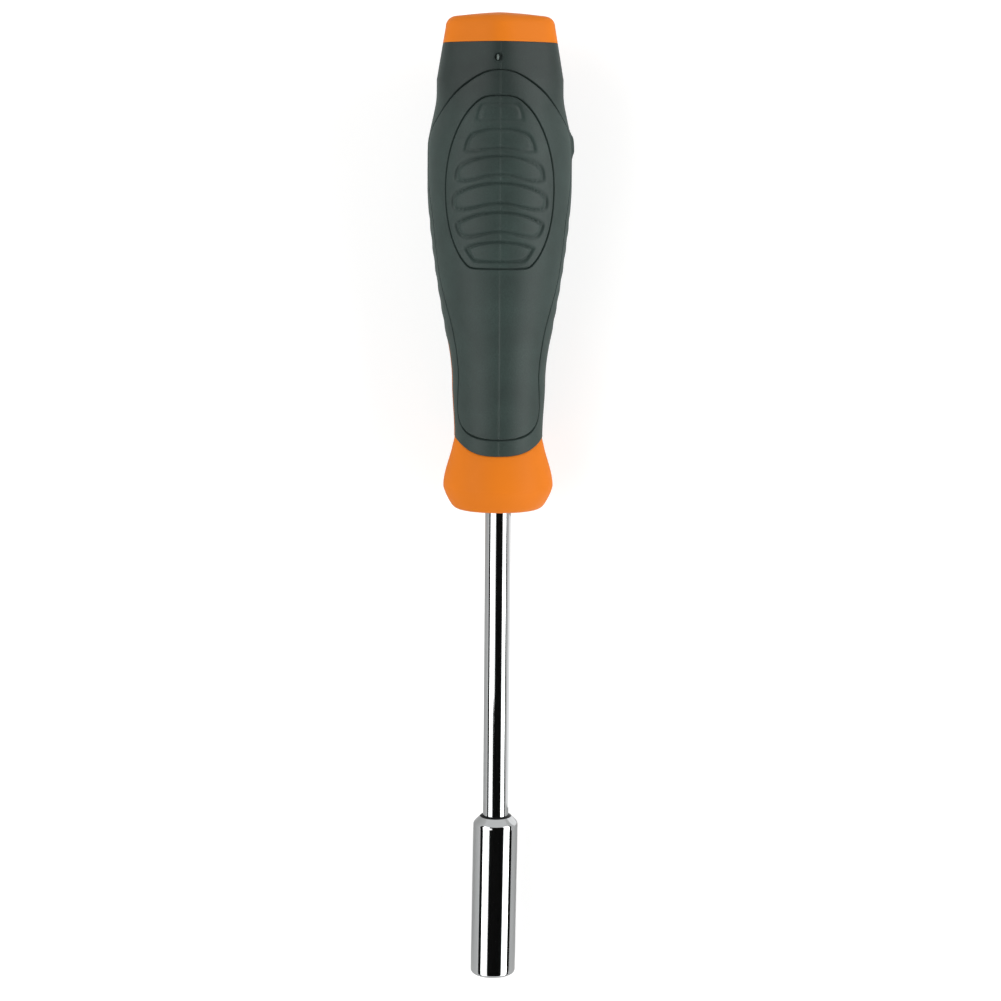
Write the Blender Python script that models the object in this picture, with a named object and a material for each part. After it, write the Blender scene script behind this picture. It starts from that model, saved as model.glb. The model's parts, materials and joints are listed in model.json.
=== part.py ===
"""Bit holder screwdriver: a moulded soft-grip handle, a chromed shaft and a magnetic hex bit holder.

Every piece is built round the tool's own axis: z = 0 is the butt end, -z runs to the tip,
and the front pad of the grip faces -Y. An empty then lays the tool on a bench with that pad up,
so that it rests on the belly of its handle and on the rim of its bit holder.
"""
import math

import bmesh
import bpy
from mathutils import Vector

MM = 0.001

# Handle outline: distances along the axis and half-widths
HANDLE_LENGTH = 112.5 * MM
CAP_HEIGHT = 6.9 * MM
CAP_CROWN = 0.7 * MM
CAP_EDGE_ROUND = 3.0 * MM
BUTT_RADIUS = 12.4 * MM
SHOULDER_RADIUS = 14.4 * MM
SHOULDER_FROM_BUTT = 15.0 * MM
SHOULDER_LENGTH = 4.0 * MM
BELLY_RADIUS = 16.5 * MM
BELLY_FROM_SHOULDER = 12.0 * MM
BELLY_LENGTH = 7.0 * MM
NECK_RADIUS = 10.35 * MM
NECK_FROM_NOSE_END = 17.0 * MM
NOSE_RADIUS = 12.6 * MM
NOSE_BULGE_FROM_END = 5.8 * MM
NOSE_END_RADIUS = 8.6 * MM

# Rounded hexagon of the butt, which fades to a circle at the belly
BUTT_FACET_SHARPNESS = 9.0
CIRCLE_SHARPNESS = 2.0

# Walls of the moulded layers, and the gap left between neighbours
GRIP_WALL = 2.0 * MM
BODY_WALL = 2.4 * MM
NOSE_FLOOR = 8.5 * MM
FIT_GAP = 0.2 * MM

# Lower edge of the grip, measured up from the end of the nose
GRIP_EDGE_AT_FRONT = 13.1 * MM
GRIP_EDGE_AT_SIDE = 15.6 * MM

# Side tongues of the body, flush with the grip beside them
TONGUE_LENGTH = 39.5 * MM
TONGUE_WIDTH = 4.2 * MM
TONGUE_RECESS = 0.1 * MM

# Bare raised boss on the right side of the grip
BOSS_FROM_BUTT = 29.4 * MM
BOSS_LENGTH = 6.0 * MM
BOSS_WIDTH = 5.0 * MM
BOSS_HEIGHT = 0.8 * MM

# Moulded grooves of the grip, alike at the front and the rear: a long loop, an oval in it
# and a row of pads in the oval
GROOVE_WIDTH = 0.5 * MM
GROOVE_DEPTH = 0.3 * MM
LOOP_FROM_BUTT = 13.1 * MM
LOOP_FROM_NOSE_END = 16.8 * MM
LOOP_BELLY_ANGLE = math.radians(76.0)
LOOP_NECK_ANGLE = math.radians(59.0)
LOOP_TOP_SQUARENESS = 2.5
LOOP_END_SQUARENESS = 5.0
OVAL_FROM_BUTT = 18.8 * MM
OVAL_TOP_HALF = 20.6 * MM
OVAL_END_HALF = 17.4 * MM
OVAL_WIDTH = 24.2 * MM
OVAL_TOP_SQUARENESS = 2.2
OVAL_END_SQUARENESS = 2.7
PADS_FROM_OVAL_TOP = 1.6 * MM
PAD_PITCH = 6.1 * MM
PAD_LENGTH = 4.1 * MM
PAD_BOW = 1.4 * MM
PAD_SQUARENESS = 3.2

# Width of each pad at its upper and its lower edge, from the butt to the nose
PAD_WIDTHS = (
    (7.6 * MM, 9.6 * MM),
    (12.9 * MM, 15.2 * MM),
    (18.2 * MM, 18.8 * MM),
    (20.2 * MM, 20.0 * MM),
    (19.3 * MM, 16.6 * MM),
    (14.7 * MM, 10.7 * MM),
)

# Spigot of the cap, with the bead that snaps into the body
SPIGOT_DEPTH = 7.0 * MM
SPIGOT_WALL = 1.8 * MM
CAP_TOP_WALL = 2.6 * MM
BEAD_HEIGHT = 0.5 * MM
BEAD_FROM_FLANGE = 4.0 * MM

# Shaft and its tang
SHAFT_DIAMETER = 6.0 * MM
SHAFT_EXPOSED = 73.7 * MM
SHAFT_CHAMFER = 0.6 * MM
TANG_COVER = 32.0 * MM
WINGS_FROM_TANG_END = 8.0 * MM
WING_LENGTH = 10.0 * MM
WING_SPAN = 9.4 * MM
WING_THICKNESS = 2.0 * MM
WING_TAPER = 2.5 * MM

# Bit holder: quarter-inch hex socket, magnet and sprung ring
HOLDER_LENGTH = 38.4 * MM
HOLDER_WALL = 0.85 * MM
HOLDER_SHOULDER_ROUND = 1.6 * MM
HOLDER_EDGE_ROUND = 0.8 * MM
COUNTERSINK_DEPTH = 0.55 * MM
HEX_ACROSS_FLATS = 6.45 * MM
HEX_DEPTH = 17.0 * MM
SOCKET_CONE = 0.5 * MM
MAGNET_DIAMETER = 5.6 * MM
MAGNET_LENGTH = 4.0 * MM
MAGNET_CHAMFER = 0.3 * MM
RING_WIRE = 0.8 * MM
RING_FROM_MOUTH = 4.0 * MM
RING_BITE = 0.32 * MM
RING_OPENING = math.radians(60.0)

# Facets of the round pieces
SIDES = 36
GRIP_ROWS = 22
COVERED_ROWS = 11
NOSE_ROWS = 7
ARC_STEPS = 4
BOSS_SIDES = 28
LOOP_STEPS = 56
OVAL_STEPS = 44
PAD_STEPS = 20
WIRE_SIDES = 8
RING_ROWS = 24
SHARP_ANGLE = math.radians(35.0)

# Places along the axis, from the butt end
SHAFT_RADIUS = SHAFT_DIAMETER / 2
TOOL_LENGTH = HANDLE_LENGTH + SHAFT_EXPOSED + HOLDER_LENGTH
HOLDER_TOP = TOOL_LENGTH - HOLDER_LENGTH
SOCKET_FLOOR = TOOL_LENGTH - HEX_DEPTH
MAGNET_TOP = SOCKET_FLOOR - MAGNET_LENGTH
SHAFT_TIP = MAGNET_TOP - FIT_GAP
GRIP_TOP = CAP_HEIGHT + FIT_GAP
CORE_TOP = CAP_HEIGHT + SPIGOT_DEPTH + FIT_GAP
CORE_END = HANDLE_LENGTH - NOSE_FLOOR
TANG_END = CORE_TOP + TANG_COVER
BELLY_START = SHOULDER_FROM_BUTT + SHOULDER_LENGTH + BELLY_FROM_SHOULDER
NECK = HANDLE_LENGTH - NECK_FROM_NOSE_END
BEAD = CAP_HEIGHT + BEAD_FROM_FLANGE

# Radii that follow from neighbours
BORE_RADIUS = SHAFT_RADIUS + FIT_GAP
COUNTERSINK_RADIUS = BORE_RADIUS + COUNTERSINK_DEPTH
POCKET_RADIUS = MAGNET_DIAMETER / 2 + FIT_GAP
HEX_CORNER_RADIUS = HEX_ACROSS_FLATS / 2 / math.cos(math.radians(30.0))
RING_RADIUS = HEX_CORNER_RADIUS - RING_BITE + RING_WIRE / 2
GROOVE_RADIUS = RING_RADIUS + RING_WIRE / 2 + FIT_GAP
HOLDER_RADIUS = max(GROOVE_RADIUS, COUNTERSINK_RADIUS) + HOLDER_WALL


def straight(share):
    """A straight run between two stations of the outline."""
    return share


def eased(share):
    """A run that leaves and reaches its stations parallel to the axis."""
    return share * share * (3 - 2 * share)


def rounded_over(share):
    """A quarter of an ellipse that leaves the bulge of the nose parallel to the axis."""
    return 1 - math.sqrt(max(0.0, 1 - share * share))


# Stations of the handle's outline: distance from the butt, half-width, run to the next station
HANDLE_STATIONS = (
    (CAP_CROWN + CAP_EDGE_ROUND, BUTT_RADIUS, straight),
    (SHOULDER_FROM_BUTT, SHOULDER_RADIUS, straight),
    (SHOULDER_FROM_BUTT + SHOULDER_LENGTH, SHOULDER_RADIUS, eased),
    (BELLY_START, BELLY_RADIUS, straight),
    (BELLY_START + BELLY_LENGTH, BELLY_RADIUS, eased),
    (NECK, NECK_RADIUS, eased),
    (HANDLE_LENGTH - NOSE_BULGE_FROM_END, NOSE_RADIUS, rounded_over),
    (HANDLE_LENGTH, NOSE_END_RADIUS, straight),
)


def handle_radius(distance):
    """Half-width of the handle at a distance from its butt end."""
    for (start, radius, run), (end, next_radius, _) in zip(HANDLE_STATIONS, HANDLE_STATIONS[1:]):
        if distance <= end:
            share = max(0.0, (distance - start) / (end - start))
            return radius + (next_radius - radius) * run(share)
    return NOSE_END_RADIUS


def facet(angle, distance):
    """Reach of the rounded hexagon at an angle from its front ridge, as a share of its half-width."""
    fade = eased(min(1.0, max(0.0, (distance - CAP_HEIGHT) / (BELLY_START - CAP_HEIGHT))))
    sharpness = BUTT_FACET_SHARPNESS + (CIRCLE_SHARPNESS - BUTT_FACET_SHARPNESS) * fade

    def sum_of_flats(turn):
        normals = (math.radians(30), math.radians(90), math.radians(150))
        return sum(abs(math.cos(turn - normal)) ** sharpness for normal in normals)

    return (sum_of_flats(math.pi / 2) / sum_of_flats(angle)) ** (1 / sharpness)


def grip_edge(angle):
    """Distance of the grip's lower edge from the butt, lowest at the front and the rear."""
    drop = (GRIP_EDGE_AT_SIDE - GRIP_EDGE_AT_FRONT) * math.cos(angle) ** 2
    return HANDLE_LENGTH - GRIP_EDGE_AT_SIDE + drop


def core_radius(distance):
    """Outside of the inner core, inside the walls of the grip and the body."""
    layers = GRIP_WALL + BODY_WALL + 2 * FIT_GAP
    return handle_radius(min(distance, NECK)) - layers


def hexagon_radius(angle):
    """Reach of the hex socket, with flats at the front and the rear."""
    from_flat = (angle + math.radians(30)) % math.radians(60) - math.radians(30)
    return HEX_ACROSS_FLATS / 2 / math.cos(from_flat)


def ring(place, first=0.0):
    """Points round the axis, where place(angle) gives the distance from the butt and the radius."""
    points = []
    for index in range(SIDES):
        angle = (index + first) * 2 * math.pi / SIDES
        distance, radius = place(angle)
        points.append(Vector((radius * math.sin(angle), -radius * math.cos(angle), -distance)))
    return points


def handle_ring(place):
    """A ring of the handle, with a flat facet, not a corner, at its front and its rear."""
    return ring(place, first=0.5)


def round_ring(distance, radius):
    """A circle round the axis."""
    return handle_ring(lambda angle: (distance, radius))


def quarter_arc(steps):
    """Pairs of sine and one minus cosine through a quarter turn, both ends included."""
    turns = [math.pi / 2 * step / steps for step in range(steps + 1)]
    return [(math.sin(turn), 1 - math.cos(turn)) for turn in turns]


def shares(count):
    """Even shares from 0 to 1, both ends included."""
    return [index / count for index in range(count + 1)]


def loft(name, rings, closed=False):
    """One solid through rings of points, capped at both ends or closed on itself like a tube's wall."""
    shape = bmesh.new()
    loops = [[shape.verts.new(point) for point in points] for points in rings]
    pairs = list(zip(loops, loops[1:]))
    if closed:
        pairs.append((loops[-1], loops[0]))
    for upper, lower in pairs:
        for index in range(len(upper)):
            after = (index + 1) % len(upper)
            shape.faces.new((upper[index], upper[after], lower[after], lower[index]))
    if not closed:
        shape.faces.new(loops[0])
        shape.faces.new(loops[-1])
    bmesh.ops.recalc_face_normals(shape, faces=shape.faces)
    mesh = bpy.data.meshes.new(name)
    shape.to_mesh(mesh)
    shape.free()
    mesh.shade_smooth()
    mesh.set_sharp_from_angle(angle=SHARP_ANGLE)
    piece = bpy.data.objects.new(name, mesh)
    bpy.context.collection.objects.link(piece)
    return piece


def join_helper(piece, helper, operation):
    """Adds a helper solid to a piece or cuts it out, and keeps the helper out of sight."""
    helper.hide_render = True
    helper.display_type = "WIRE"
    modifier = piece.modifiers.new(helper.name, "BOOLEAN")
    modifier.operation = operation
    modifier.solver = "EXACT"
    modifier.object = helper


def linear(channel):
    """One sRGB channel, 0 to 255, as the linear value that a shader takes."""
    share = channel / 255
    if share <= 0.04045:
        return share / 12.92
    return ((share + 0.055) / 1.055) ** 2.4


def finish(piece, name, colour, roughness, metallic):
    """Gives a piece its own material."""
    made = bpy.data.materials.new(name)
    made.use_nodes = True
    shader = made.node_tree.nodes["Principled BSDF"]
    shader.inputs["Base Color"].default_value = (*(linear(channel) for channel in colour), 1.0)
    shader.inputs["Roughness"].default_value = roughness
    shader.inputs["Metallic"].default_value = metallic
    piece.data.materials.append(made)


def make_butt_cap():
    """Crowned hexagonal cap with a hollow spigot."""
    top_radius = BUTT_RADIUS - CAP_EDGE_ROUND
    outline = []
    for share in (0.2, 0.6):
        outline.append((CAP_CROWN * share * share, top_radius * share))
    for sine, drop in quarter_arc(ARC_STEPS):
        outline.append((CAP_CROWN + CAP_EDGE_ROUND * drop, top_radius + CAP_EDGE_ROUND * sine))
    outline.append((CAP_HEIGHT, handle_radius(CAP_HEIGHT)))

    def faceted(distance, radius):
        return handle_ring(lambda angle: (distance, radius * facet(angle, distance)))

    rings = [faceted(distance, radius) for distance, radius in outline]
    spigot = core_radius(CAP_HEIGHT)
    spigot_end = CAP_HEIGHT + SPIGOT_DEPTH
    rings.append(round_ring(CAP_HEIGHT, spigot))
    rings.append(round_ring(BEAD - BEAD_HEIGHT, spigot))
    rings.append(round_ring(BEAD, spigot + BEAD_HEIGHT))
    rings.append(round_ring(BEAD + BEAD_HEIGHT, spigot))
    rings.append(round_ring(spigot_end, spigot))
    rings.append(round_ring(spigot_end, spigot - SPIGOT_WALL))
    rings.append(round_ring(CAP_TOP_WALL, spigot - SPIGOT_WALL))
    cap = loft("butt_cap", rings)
    finish(cap, "orange_cap_plastic", (229, 130, 39), 0.42, 0.0)
    return cap


def tongue(name, side, spread, inner, outer):
    """Strip with a round upper end on one side of the handle, spread wider by a gap where it is a cutter."""
    half_width = TONGUE_WIDTH / 2 + spread
    top = HANDLE_LENGTH - TONGUE_LENGTH - spread
    bottom = HANDLE_LENGTH - (GRIP_EDGE_AT_FRONT + GRIP_EDGE_AT_SIDE) / 2 + GRIP_WALL
    stations = [(top + half_width * drop, half_width * sine) for sine, drop in quarter_arc(ARC_STEPS)[1:]]
    straight_start = top + half_width
    for share in shares(COVERED_ROWS)[1:]:
        stations.append((straight_start + (bottom - straight_start) * share, half_width))

    def strip(distance, half):
        """Section of the strip, across its outside and back across its inside."""
        across = [half * (2 * share - 1) for share in shares(ARC_STEPS)]
        section = []
        for reach, order in ((outer, across), (inner, across[::-1])):
            radius = handle_radius(distance) + reach
            for offset in order:
                section.append(Vector((side * math.sqrt(radius ** 2 - offset ** 2), offset, -distance)))
        return section

    return loft(name, [strip(distance, half) for distance, half in stations])


def make_handle_body():
    """Orange body: thin under the grip, full width at the nose, hollow round the inner core."""
    under_grip = GRIP_WALL + FIT_GAP

    def covered(share):
        def place(angle):
            distance = GRIP_TOP + share * (grip_edge(angle) + FIT_GAP - GRIP_TOP)
            return distance, handle_radius(distance) - under_grip
        return handle_ring(place)

    def nose(share):
        def place(angle):
            start = grip_edge(angle) + FIT_GAP
            distance = start + share * (HANDLE_LENGTH - start)
            return distance, handle_radius(distance)
        return handle_ring(place)

    rings = [covered(share) for share in shares(COVERED_ROWS)]
    rings += [nose(math.sin(math.pi / 2 * share)) for share in shares(NOSE_ROWS)]
    rings.append(round_ring(HANDLE_LENGTH, BORE_RADIUS))
    rings.append(round_ring(CORE_END + FIT_GAP, BORE_RADIUS))
    for share in shares(COVERED_ROWS):
        distance = CORE_END + FIT_GAP + share * (CORE_TOP - CORE_END - 2 * FIT_GAP)
        rings.append(round_ring(distance, core_radius(distance) + FIT_GAP))
    bore = core_radius(CAP_HEIGHT) + FIT_GAP
    rings.append(round_ring(CORE_TOP - FIT_GAP, bore))
    rings.append(round_ring(BEAD + BEAD_HEIGHT + FIT_GAP, bore))
    rings.append(round_ring(BEAD, bore + BEAD_HEIGHT + FIT_GAP))
    rings.append(round_ring(BEAD - BEAD_HEIGHT - FIT_GAP, bore))
    rings.append(round_ring(GRIP_TOP, bore))
    body = loft("handle_body", rings, closed=True)
    for side, label in ((1, "right"), (-1, "left")):
        inner = -under_grip - BODY_WALL / 2
        land = tongue("tongue_" + label, side, 0.0, inner, -TONGUE_RECESS)
        join_helper(body, land, "UNION")
    finish(body, "orange_body_plastic", (229, 130, 39), 0.42, 0.0)
    return body


def make_boss():
    """Rounded pad that stands proud of the right side of the belly."""
    surface = handle_radius(BOSS_FROM_BUTT)
    levels = (
        (surface - GRIP_WALL / 2, 1.0),
        (surface + BOSS_HEIGHT / 2, 1.0),
        (surface + BOSS_HEIGHT, 0.85),
        (surface + BOSS_HEIGHT, 0.4),
    )

    def outline(radius, scale):
        points = []
        for index in range(BOSS_SIDES):
            turn = 2 * math.pi * index / BOSS_SIDES
            square = (math.cos(turn) ** 4 + math.sin(turn) ** 4) ** 0.25
            across = scale * BOSS_WIDTH / 2 * math.cos(turn) / square
            along = scale * BOSS_LENGTH / 2 * math.sin(turn) / square
            height = math.sqrt(radius ** 2 - across ** 2)
            points.append(Vector((height, across, -BOSS_FROM_BUTT - along)))
        return points

    return loft("grip_boss", [outline(radius, scale) for radius, scale in levels])


def signed_power(value, power):
    """A power that keeps the sign of its value."""
    return math.copysign(abs(value) ** power, value)


def squared_circle(turn, squareness):
    """Point of a circle of radius 1 whose corners fill out as its squareness grows past 2."""
    power = 2 / squareness
    return signed_power(math.sin(turn), power), -signed_power(math.cos(turn), power)


def turns(count):
    """Even turns round a closed outline, from its upper end."""
    return [2 * math.pi * index / count for index in range(count)]


def loop_path():
    """Long loop round a face of the grip, wide at the belly and narrow at the neck."""
    half = (HANDLE_LENGTH - LOOP_FROM_NOSE_END - LOOP_FROM_BUTT) / 2
    path = []
    for turn in turns(LOOP_STEPS):
        squareness = LOOP_TOP_SQUARENESS if math.cos(turn) > 0 else LOOP_END_SQUARENESS
        across, along = squared_circle(turn, squareness)
        reach = LOOP_BELLY_ANGLE + (LOOP_NECK_ANGLE - LOOP_BELLY_ANGLE) * eased((along + 1) / 2)
        path.append((across * reach, LOOP_FROM_BUTT + half * (along + 1)))
    return path


def oval_path():
    """Oval round the row of pads, fuller at its lower end."""
    path = []
    for turn in turns(OVAL_STEPS):
        upper = math.cos(turn) > 0
        across, along = squared_circle(turn, OVAL_TOP_SQUARENESS if upper else OVAL_END_SQUARENESS)
        distance = OVAL_FROM_BUTT + OVAL_TOP_HALF + along * (OVAL_TOP_HALF if upper else OVAL_END_HALF)
        path.append((math.asin(across * OVAL_WIDTH / 2 / handle_radius(distance)), distance))
    return path


def pad_path(index):
    """One pad of the row: a squared oval whose ends hang lower than its middle."""
    top_width, end_width = PAD_WIDTHS[index]
    middle = OVAL_FROM_BUTT + PADS_FROM_OVAL_TOP + index * PAD_PITCH + PAD_LENGTH / 2
    path = []
    for turn in turns(PAD_STEPS):
        across, along = squared_circle(turn, PAD_SQUARENESS)
        half_width = (top_width + (end_width - top_width) * (along + 1) / 2) / 2
        distance = middle + along * PAD_LENGTH / 2 + PAD_BOW * across ** 2
        path.append((math.asin(across * half_width / handle_radius(distance)), distance))
    return path


def groove_cutter(name, path, face):
    """V-shaped cutter along a closed path on the grip, with the path turned to the face at an angle."""
    surface = []
    for angle, distance in path:
        radius = handle_radius(distance) * facet(angle, distance)
        outward = Vector((math.sin(angle + face), -math.cos(angle + face), 0))
        surface.append((outward, outward * radius + Vector((0, 0, -distance))))
    sections = []
    for index, (outward, here) in enumerate(surface):
        ahead = surface[(index + 1) % len(surface)][1]
        across = (ahead - surface[index - 1][1]).cross(outward).normalized() * GROOVE_WIDTH * 0.75
        rise = outward * GROOVE_DEPTH / 2
        sections.append([here + rise + across, here + rise - across, here - 2 * rise])
    return loft(name, sections, closed=True)


def make_soft_grip():
    """Soft sleeve over the body, slotted round the side tongues, with grooves on its two faces."""
    def skin(share, inset):
        def place(angle):
            distance = GRIP_TOP + share * (grip_edge(angle) - GRIP_TOP)
            if inset:
                return distance, handle_radius(distance) - inset
            return distance, handle_radius(distance) * facet(angle, distance)
        return handle_ring(place)

    rings = [skin(share, 0.0) for share in shares(GRIP_ROWS)]
    rings += [skin(share, GRIP_WALL) for share in reversed(shares(COVERED_ROWS))]
    grip = loft("soft_grip", rings, closed=True)
    join_helper(grip, make_boss(), "UNION")
    for side, label in ((1, "right"), (-1, "left")):
        inner = -GRIP_WALL - FIT_GAP / 2
        slot = tongue("tongue_slot_" + label, side, FIT_GAP, inner, GRIP_WALL)
        join_helper(grip, slot, "DIFFERENCE")
    paths = {"loop": loop_path(), "oval": oval_path()}
    for index in range(len(PAD_WIDTHS)):
        paths["pad_" + str(index + 1)] = pad_path(index)
    for face, label in ((0.0, "front_"), (math.pi, "rear_")):
        for name, path in paths.items():
            join_helper(grip, groove_cutter(label + name, path, face), "DIFFERENCE")
    finish(grip, "slate_soft_plastic", (70, 82, 80), 0.6, 0.0)
    return grip


def make_wings(name, spread):
    """Forged wings of the tang, spread by a gap where they are a cutter."""
    half_span = WING_SPAN / 2 + spread
    half_thickness = WING_THICKNESS / 2 + spread
    root = SHAFT_RADIUS / 2
    start = TANG_END + WINGS_FROM_TANG_END - spread
    end = start + WING_LENGTH + 2 * spread
    sections = ((start, root), (start + WING_TAPER, half_span), (end - WING_TAPER, half_span), (end, root))

    def section(distance, reach):
        corners = ((1, 1), (-1, 1), (-1, -1), (1, -1))
        return [Vector((x * reach, y * half_thickness, -distance)) for x, y in corners]

    return loft(name, [section(distance, reach) for distance, reach in sections])


def make_inner_core():
    """Plain first shot that holds the tang, with a blind bore for it."""
    rings = []
    for share in shares(COVERED_ROWS):
        distance = CORE_TOP + share * (CORE_END - CORE_TOP)
        rings.append(round_ring(distance, core_radius(distance)))
    rings.append(round_ring(CORE_END, BORE_RADIUS))
    rings.append(round_ring(TANG_END - FIT_GAP, BORE_RADIUS))
    core = loft("inner_core", rings)
    join_helper(core, make_wings("wing_pocket", FIT_GAP), "DIFFERENCE")
    finish(core, "grey_core_plastic", (96, 98, 100), 0.6, 0.0)
    return core


def make_shaft():
    """Round steel shaft from the tang in the handle to its end in the bit holder."""
    rings = [
        round_ring(TANG_END, SHAFT_RADIUS - SHAFT_CHAMFER),
        round_ring(TANG_END + SHAFT_CHAMFER, SHAFT_RADIUS),
        round_ring(SHAFT_TIP - SHAFT_CHAMFER, SHAFT_RADIUS),
        round_ring(SHAFT_TIP, SHAFT_RADIUS - SHAFT_CHAMFER),
    ]
    shaft = loft("shaft", rings)
    join_helper(shaft, make_wings("tang_wings", 0.0), "UNION")
    finish(shaft, "chromed_shaft_steel", (205, 207, 208), 0.08, 1.0)
    return shaft


def make_bit_holder():
    """Chromed sleeve: shaft bore at the rear, magnet pocket, hex socket with its ring groove."""
    def circle(distance, radius):
        return ring(lambda angle: (distance, radius))

    def hexagon(distance):
        return ring(lambda angle: (distance, hexagon_radius(angle)))

    shoulder = min(HOLDER_SHOULDER_ROUND, HOLDER_RADIUS - COUNTERSINK_RADIUS - HOLDER_WALL / 2)
    edge = min(HOLDER_EDGE_ROUND, HOLDER_RADIUS - HEX_CORNER_RADIUS - HOLDER_WALL / 2)
    rings = [circle(HOLDER_TOP, COUNTERSINK_RADIUS)]
    for sine, drop in quarter_arc(ARC_STEPS):
        rings.append(circle(HOLDER_TOP + shoulder * drop, HOLDER_RADIUS - shoulder + shoulder * sine))
    for sine, drop in reversed(quarter_arc(ARC_STEPS)):
        rings.append(circle(TOOL_LENGTH - edge * drop, HOLDER_RADIUS - edge + edge * sine))
    groove = TOOL_LENGTH - RING_FROM_MOUTH
    half_groove = RING_WIRE / 2 + FIT_GAP
    rings.append(hexagon(TOOL_LENGTH))
    rings.append(hexagon(groove + half_groove))
    rings.append(circle(groove + half_groove, GROOVE_RADIUS))
    rings.append(circle(groove - half_groove, GROOVE_RADIUS))
    rings.append(hexagon(groove - half_groove))
    rings.append(hexagon(SOCKET_FLOOR))
    rings.append(circle(SOCKET_FLOOR - SOCKET_CONE, POCKET_RADIUS))
    rings.append(circle(SHAFT_TIP, POCKET_RADIUS))
    rings.append(circle(SHAFT_TIP, BORE_RADIUS))
    rings.append(circle(HOLDER_TOP + COUNTERSINK_DEPTH, BORE_RADIUS))
    holder = loft("bit_holder", rings, closed=True)
    finish(holder, "chromed_holder_steel", (205, 207, 208), 0.08, 1.0)
    return holder


def make_magnet():
    """Disc magnet between the shaft's end and the socket."""
    radius = MAGNET_DIAMETER / 2
    rings = [
        round_ring(MAGNET_TOP, radius - MAGNET_CHAMFER),
        round_ring(MAGNET_TOP + MAGNET_CHAMFER, radius),
        round_ring(SOCKET_FLOOR - MAGNET_CHAMFER, radius),
        round_ring(SOCKET_FLOOR, radius - MAGNET_CHAMFER),
    ]
    magnet = loft("magnet", rings)
    finish(magnet, "nickel_plated_magnet", (176, 176, 172), 0.25, 1.0)
    return magnet


def make_retaining_ring():
    """Sprung wire ring, open at the rear, that bites into the corners of the socket."""
    centre = TOOL_LENGTH - RING_FROM_MOUTH
    wire = RING_WIRE / 2
    rings = []
    for share in shares(RING_ROWS):
        angle = math.pi + RING_OPENING / 2 + share * (2 * math.pi - RING_OPENING)
        outward = Vector((math.sin(angle), -math.cos(angle), 0))
        section = []
        for index in range(WIRE_SIDES):
            turn = 2 * math.pi * index / WIRE_SIDES
            rise = Vector((0, 0, wire * math.sin(turn) - centre))
            section.append(outward * (RING_RADIUS + wire * math.cos(turn)) + rise)
        rings.append(section)
    wire_ring = loft("retaining_ring", rings)
    finish(wire_ring, "spring_steel", (120, 122, 125), 0.3, 1.0)
    return wire_ring


def resting_slope():
    """Angle of the axis to the bench when the belly and the holder's front rim touch it."""
    facet_depth = math.cos(math.pi / SIDES)
    rim = TOOL_LENGTH - HOLDER_EDGE_ROUND
    steepest = 0.0
    for share in shares(GRIP_ROWS):
        distance = GRIP_TOP + share * (grip_edge(0.0) - GRIP_TOP)
        depth = handle_radius(distance) * facet(math.pi, distance) * facet_depth
        steepest = max(steepest, (depth - HOLDER_RADIUS) / (rim - distance))
    return math.atan(steepest)


def lay_on_bench(pieces):
    """Parents the pieces to an empty that lays the tool down, centred over the origin."""
    bench = bpy.data.objects.new("screwdriver", None)
    bpy.context.collection.objects.link(bench)
    bench.rotation_euler = (resting_slope() - math.pi / 2, 0, 0)
    for made in list(bpy.context.collection.objects):
        if made is not bench:
            made.parent = bench
    bpy.context.view_layer.update()
    graph = bpy.context.evaluated_depsgraph_get()
    corners = []
    for piece in pieces:
        shown = piece.evaluated_get(graph)
        corners += [shown.matrix_world @ vertex.co for vertex in shown.data.vertices]
    low = [min(corner[axis] for corner in corners) for axis in range(3)]
    high = [max(corner[axis] for corner in corners) for axis in range(3)]
    bench.location = (-(low[0] + high[0]) / 2, -(low[1] + high[1]) / 2, -low[2])


def main():
    """Clears the scene, makes the pieces and lays the tool down."""
    for old in list(bpy.data.objects):
        bpy.data.objects.remove(old)
    pieces = [
        make_butt_cap(),
        make_handle_body(),
        make_soft_grip(),
        make_inner_core(),
        make_shaft(),
        make_bit_holder(),
        make_magnet(),
        make_retaining_ring(),
    ]
    lay_on_bench(pieces)


main()
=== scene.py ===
"""Looks of a bit holder screwdriver: moulded two-colour handle, chromed shaft and chromed bit holder.

Every piece is a numpy surface round the tool's axis. A place on the tool is a distance from the butt
end, an angle round the axis (0 at the front pad, a quarter turn at the right side) and a radius.
"""
import json
import math

import bmesh
import bpy
import numpy as np
from bpy.props import FloatProperty, FloatVectorProperty, PointerProperty
from mathutils import Matrix


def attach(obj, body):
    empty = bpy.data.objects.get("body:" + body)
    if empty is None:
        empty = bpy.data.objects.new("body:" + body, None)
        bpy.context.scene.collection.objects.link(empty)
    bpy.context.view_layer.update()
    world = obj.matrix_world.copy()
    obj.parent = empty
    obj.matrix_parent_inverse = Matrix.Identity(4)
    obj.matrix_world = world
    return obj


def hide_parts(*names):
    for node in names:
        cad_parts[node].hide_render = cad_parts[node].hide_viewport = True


bl_info = {
    "name": "Bit Holder Screwdriver",
    "version": (1, 0, 0),
    "blender": (4, 5, 0),
    "location": "View3D > Sidebar > Screwdriver",
    "description": "Makes the moulded handle, the chromed steel and the studio of a bit holder screwdriver",
    "category": "Object",
}

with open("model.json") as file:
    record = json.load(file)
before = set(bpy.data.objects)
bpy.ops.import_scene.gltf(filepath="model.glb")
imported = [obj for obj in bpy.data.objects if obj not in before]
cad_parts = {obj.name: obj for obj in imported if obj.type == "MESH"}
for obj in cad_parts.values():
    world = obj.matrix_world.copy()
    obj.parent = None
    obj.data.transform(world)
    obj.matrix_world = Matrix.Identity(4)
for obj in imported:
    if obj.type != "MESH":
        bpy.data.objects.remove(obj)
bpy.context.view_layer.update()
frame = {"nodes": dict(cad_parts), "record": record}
MOUNTS = {mount["name"]: mount for mount in frame["record"]["mounts"]}

MM = 0.001

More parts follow.
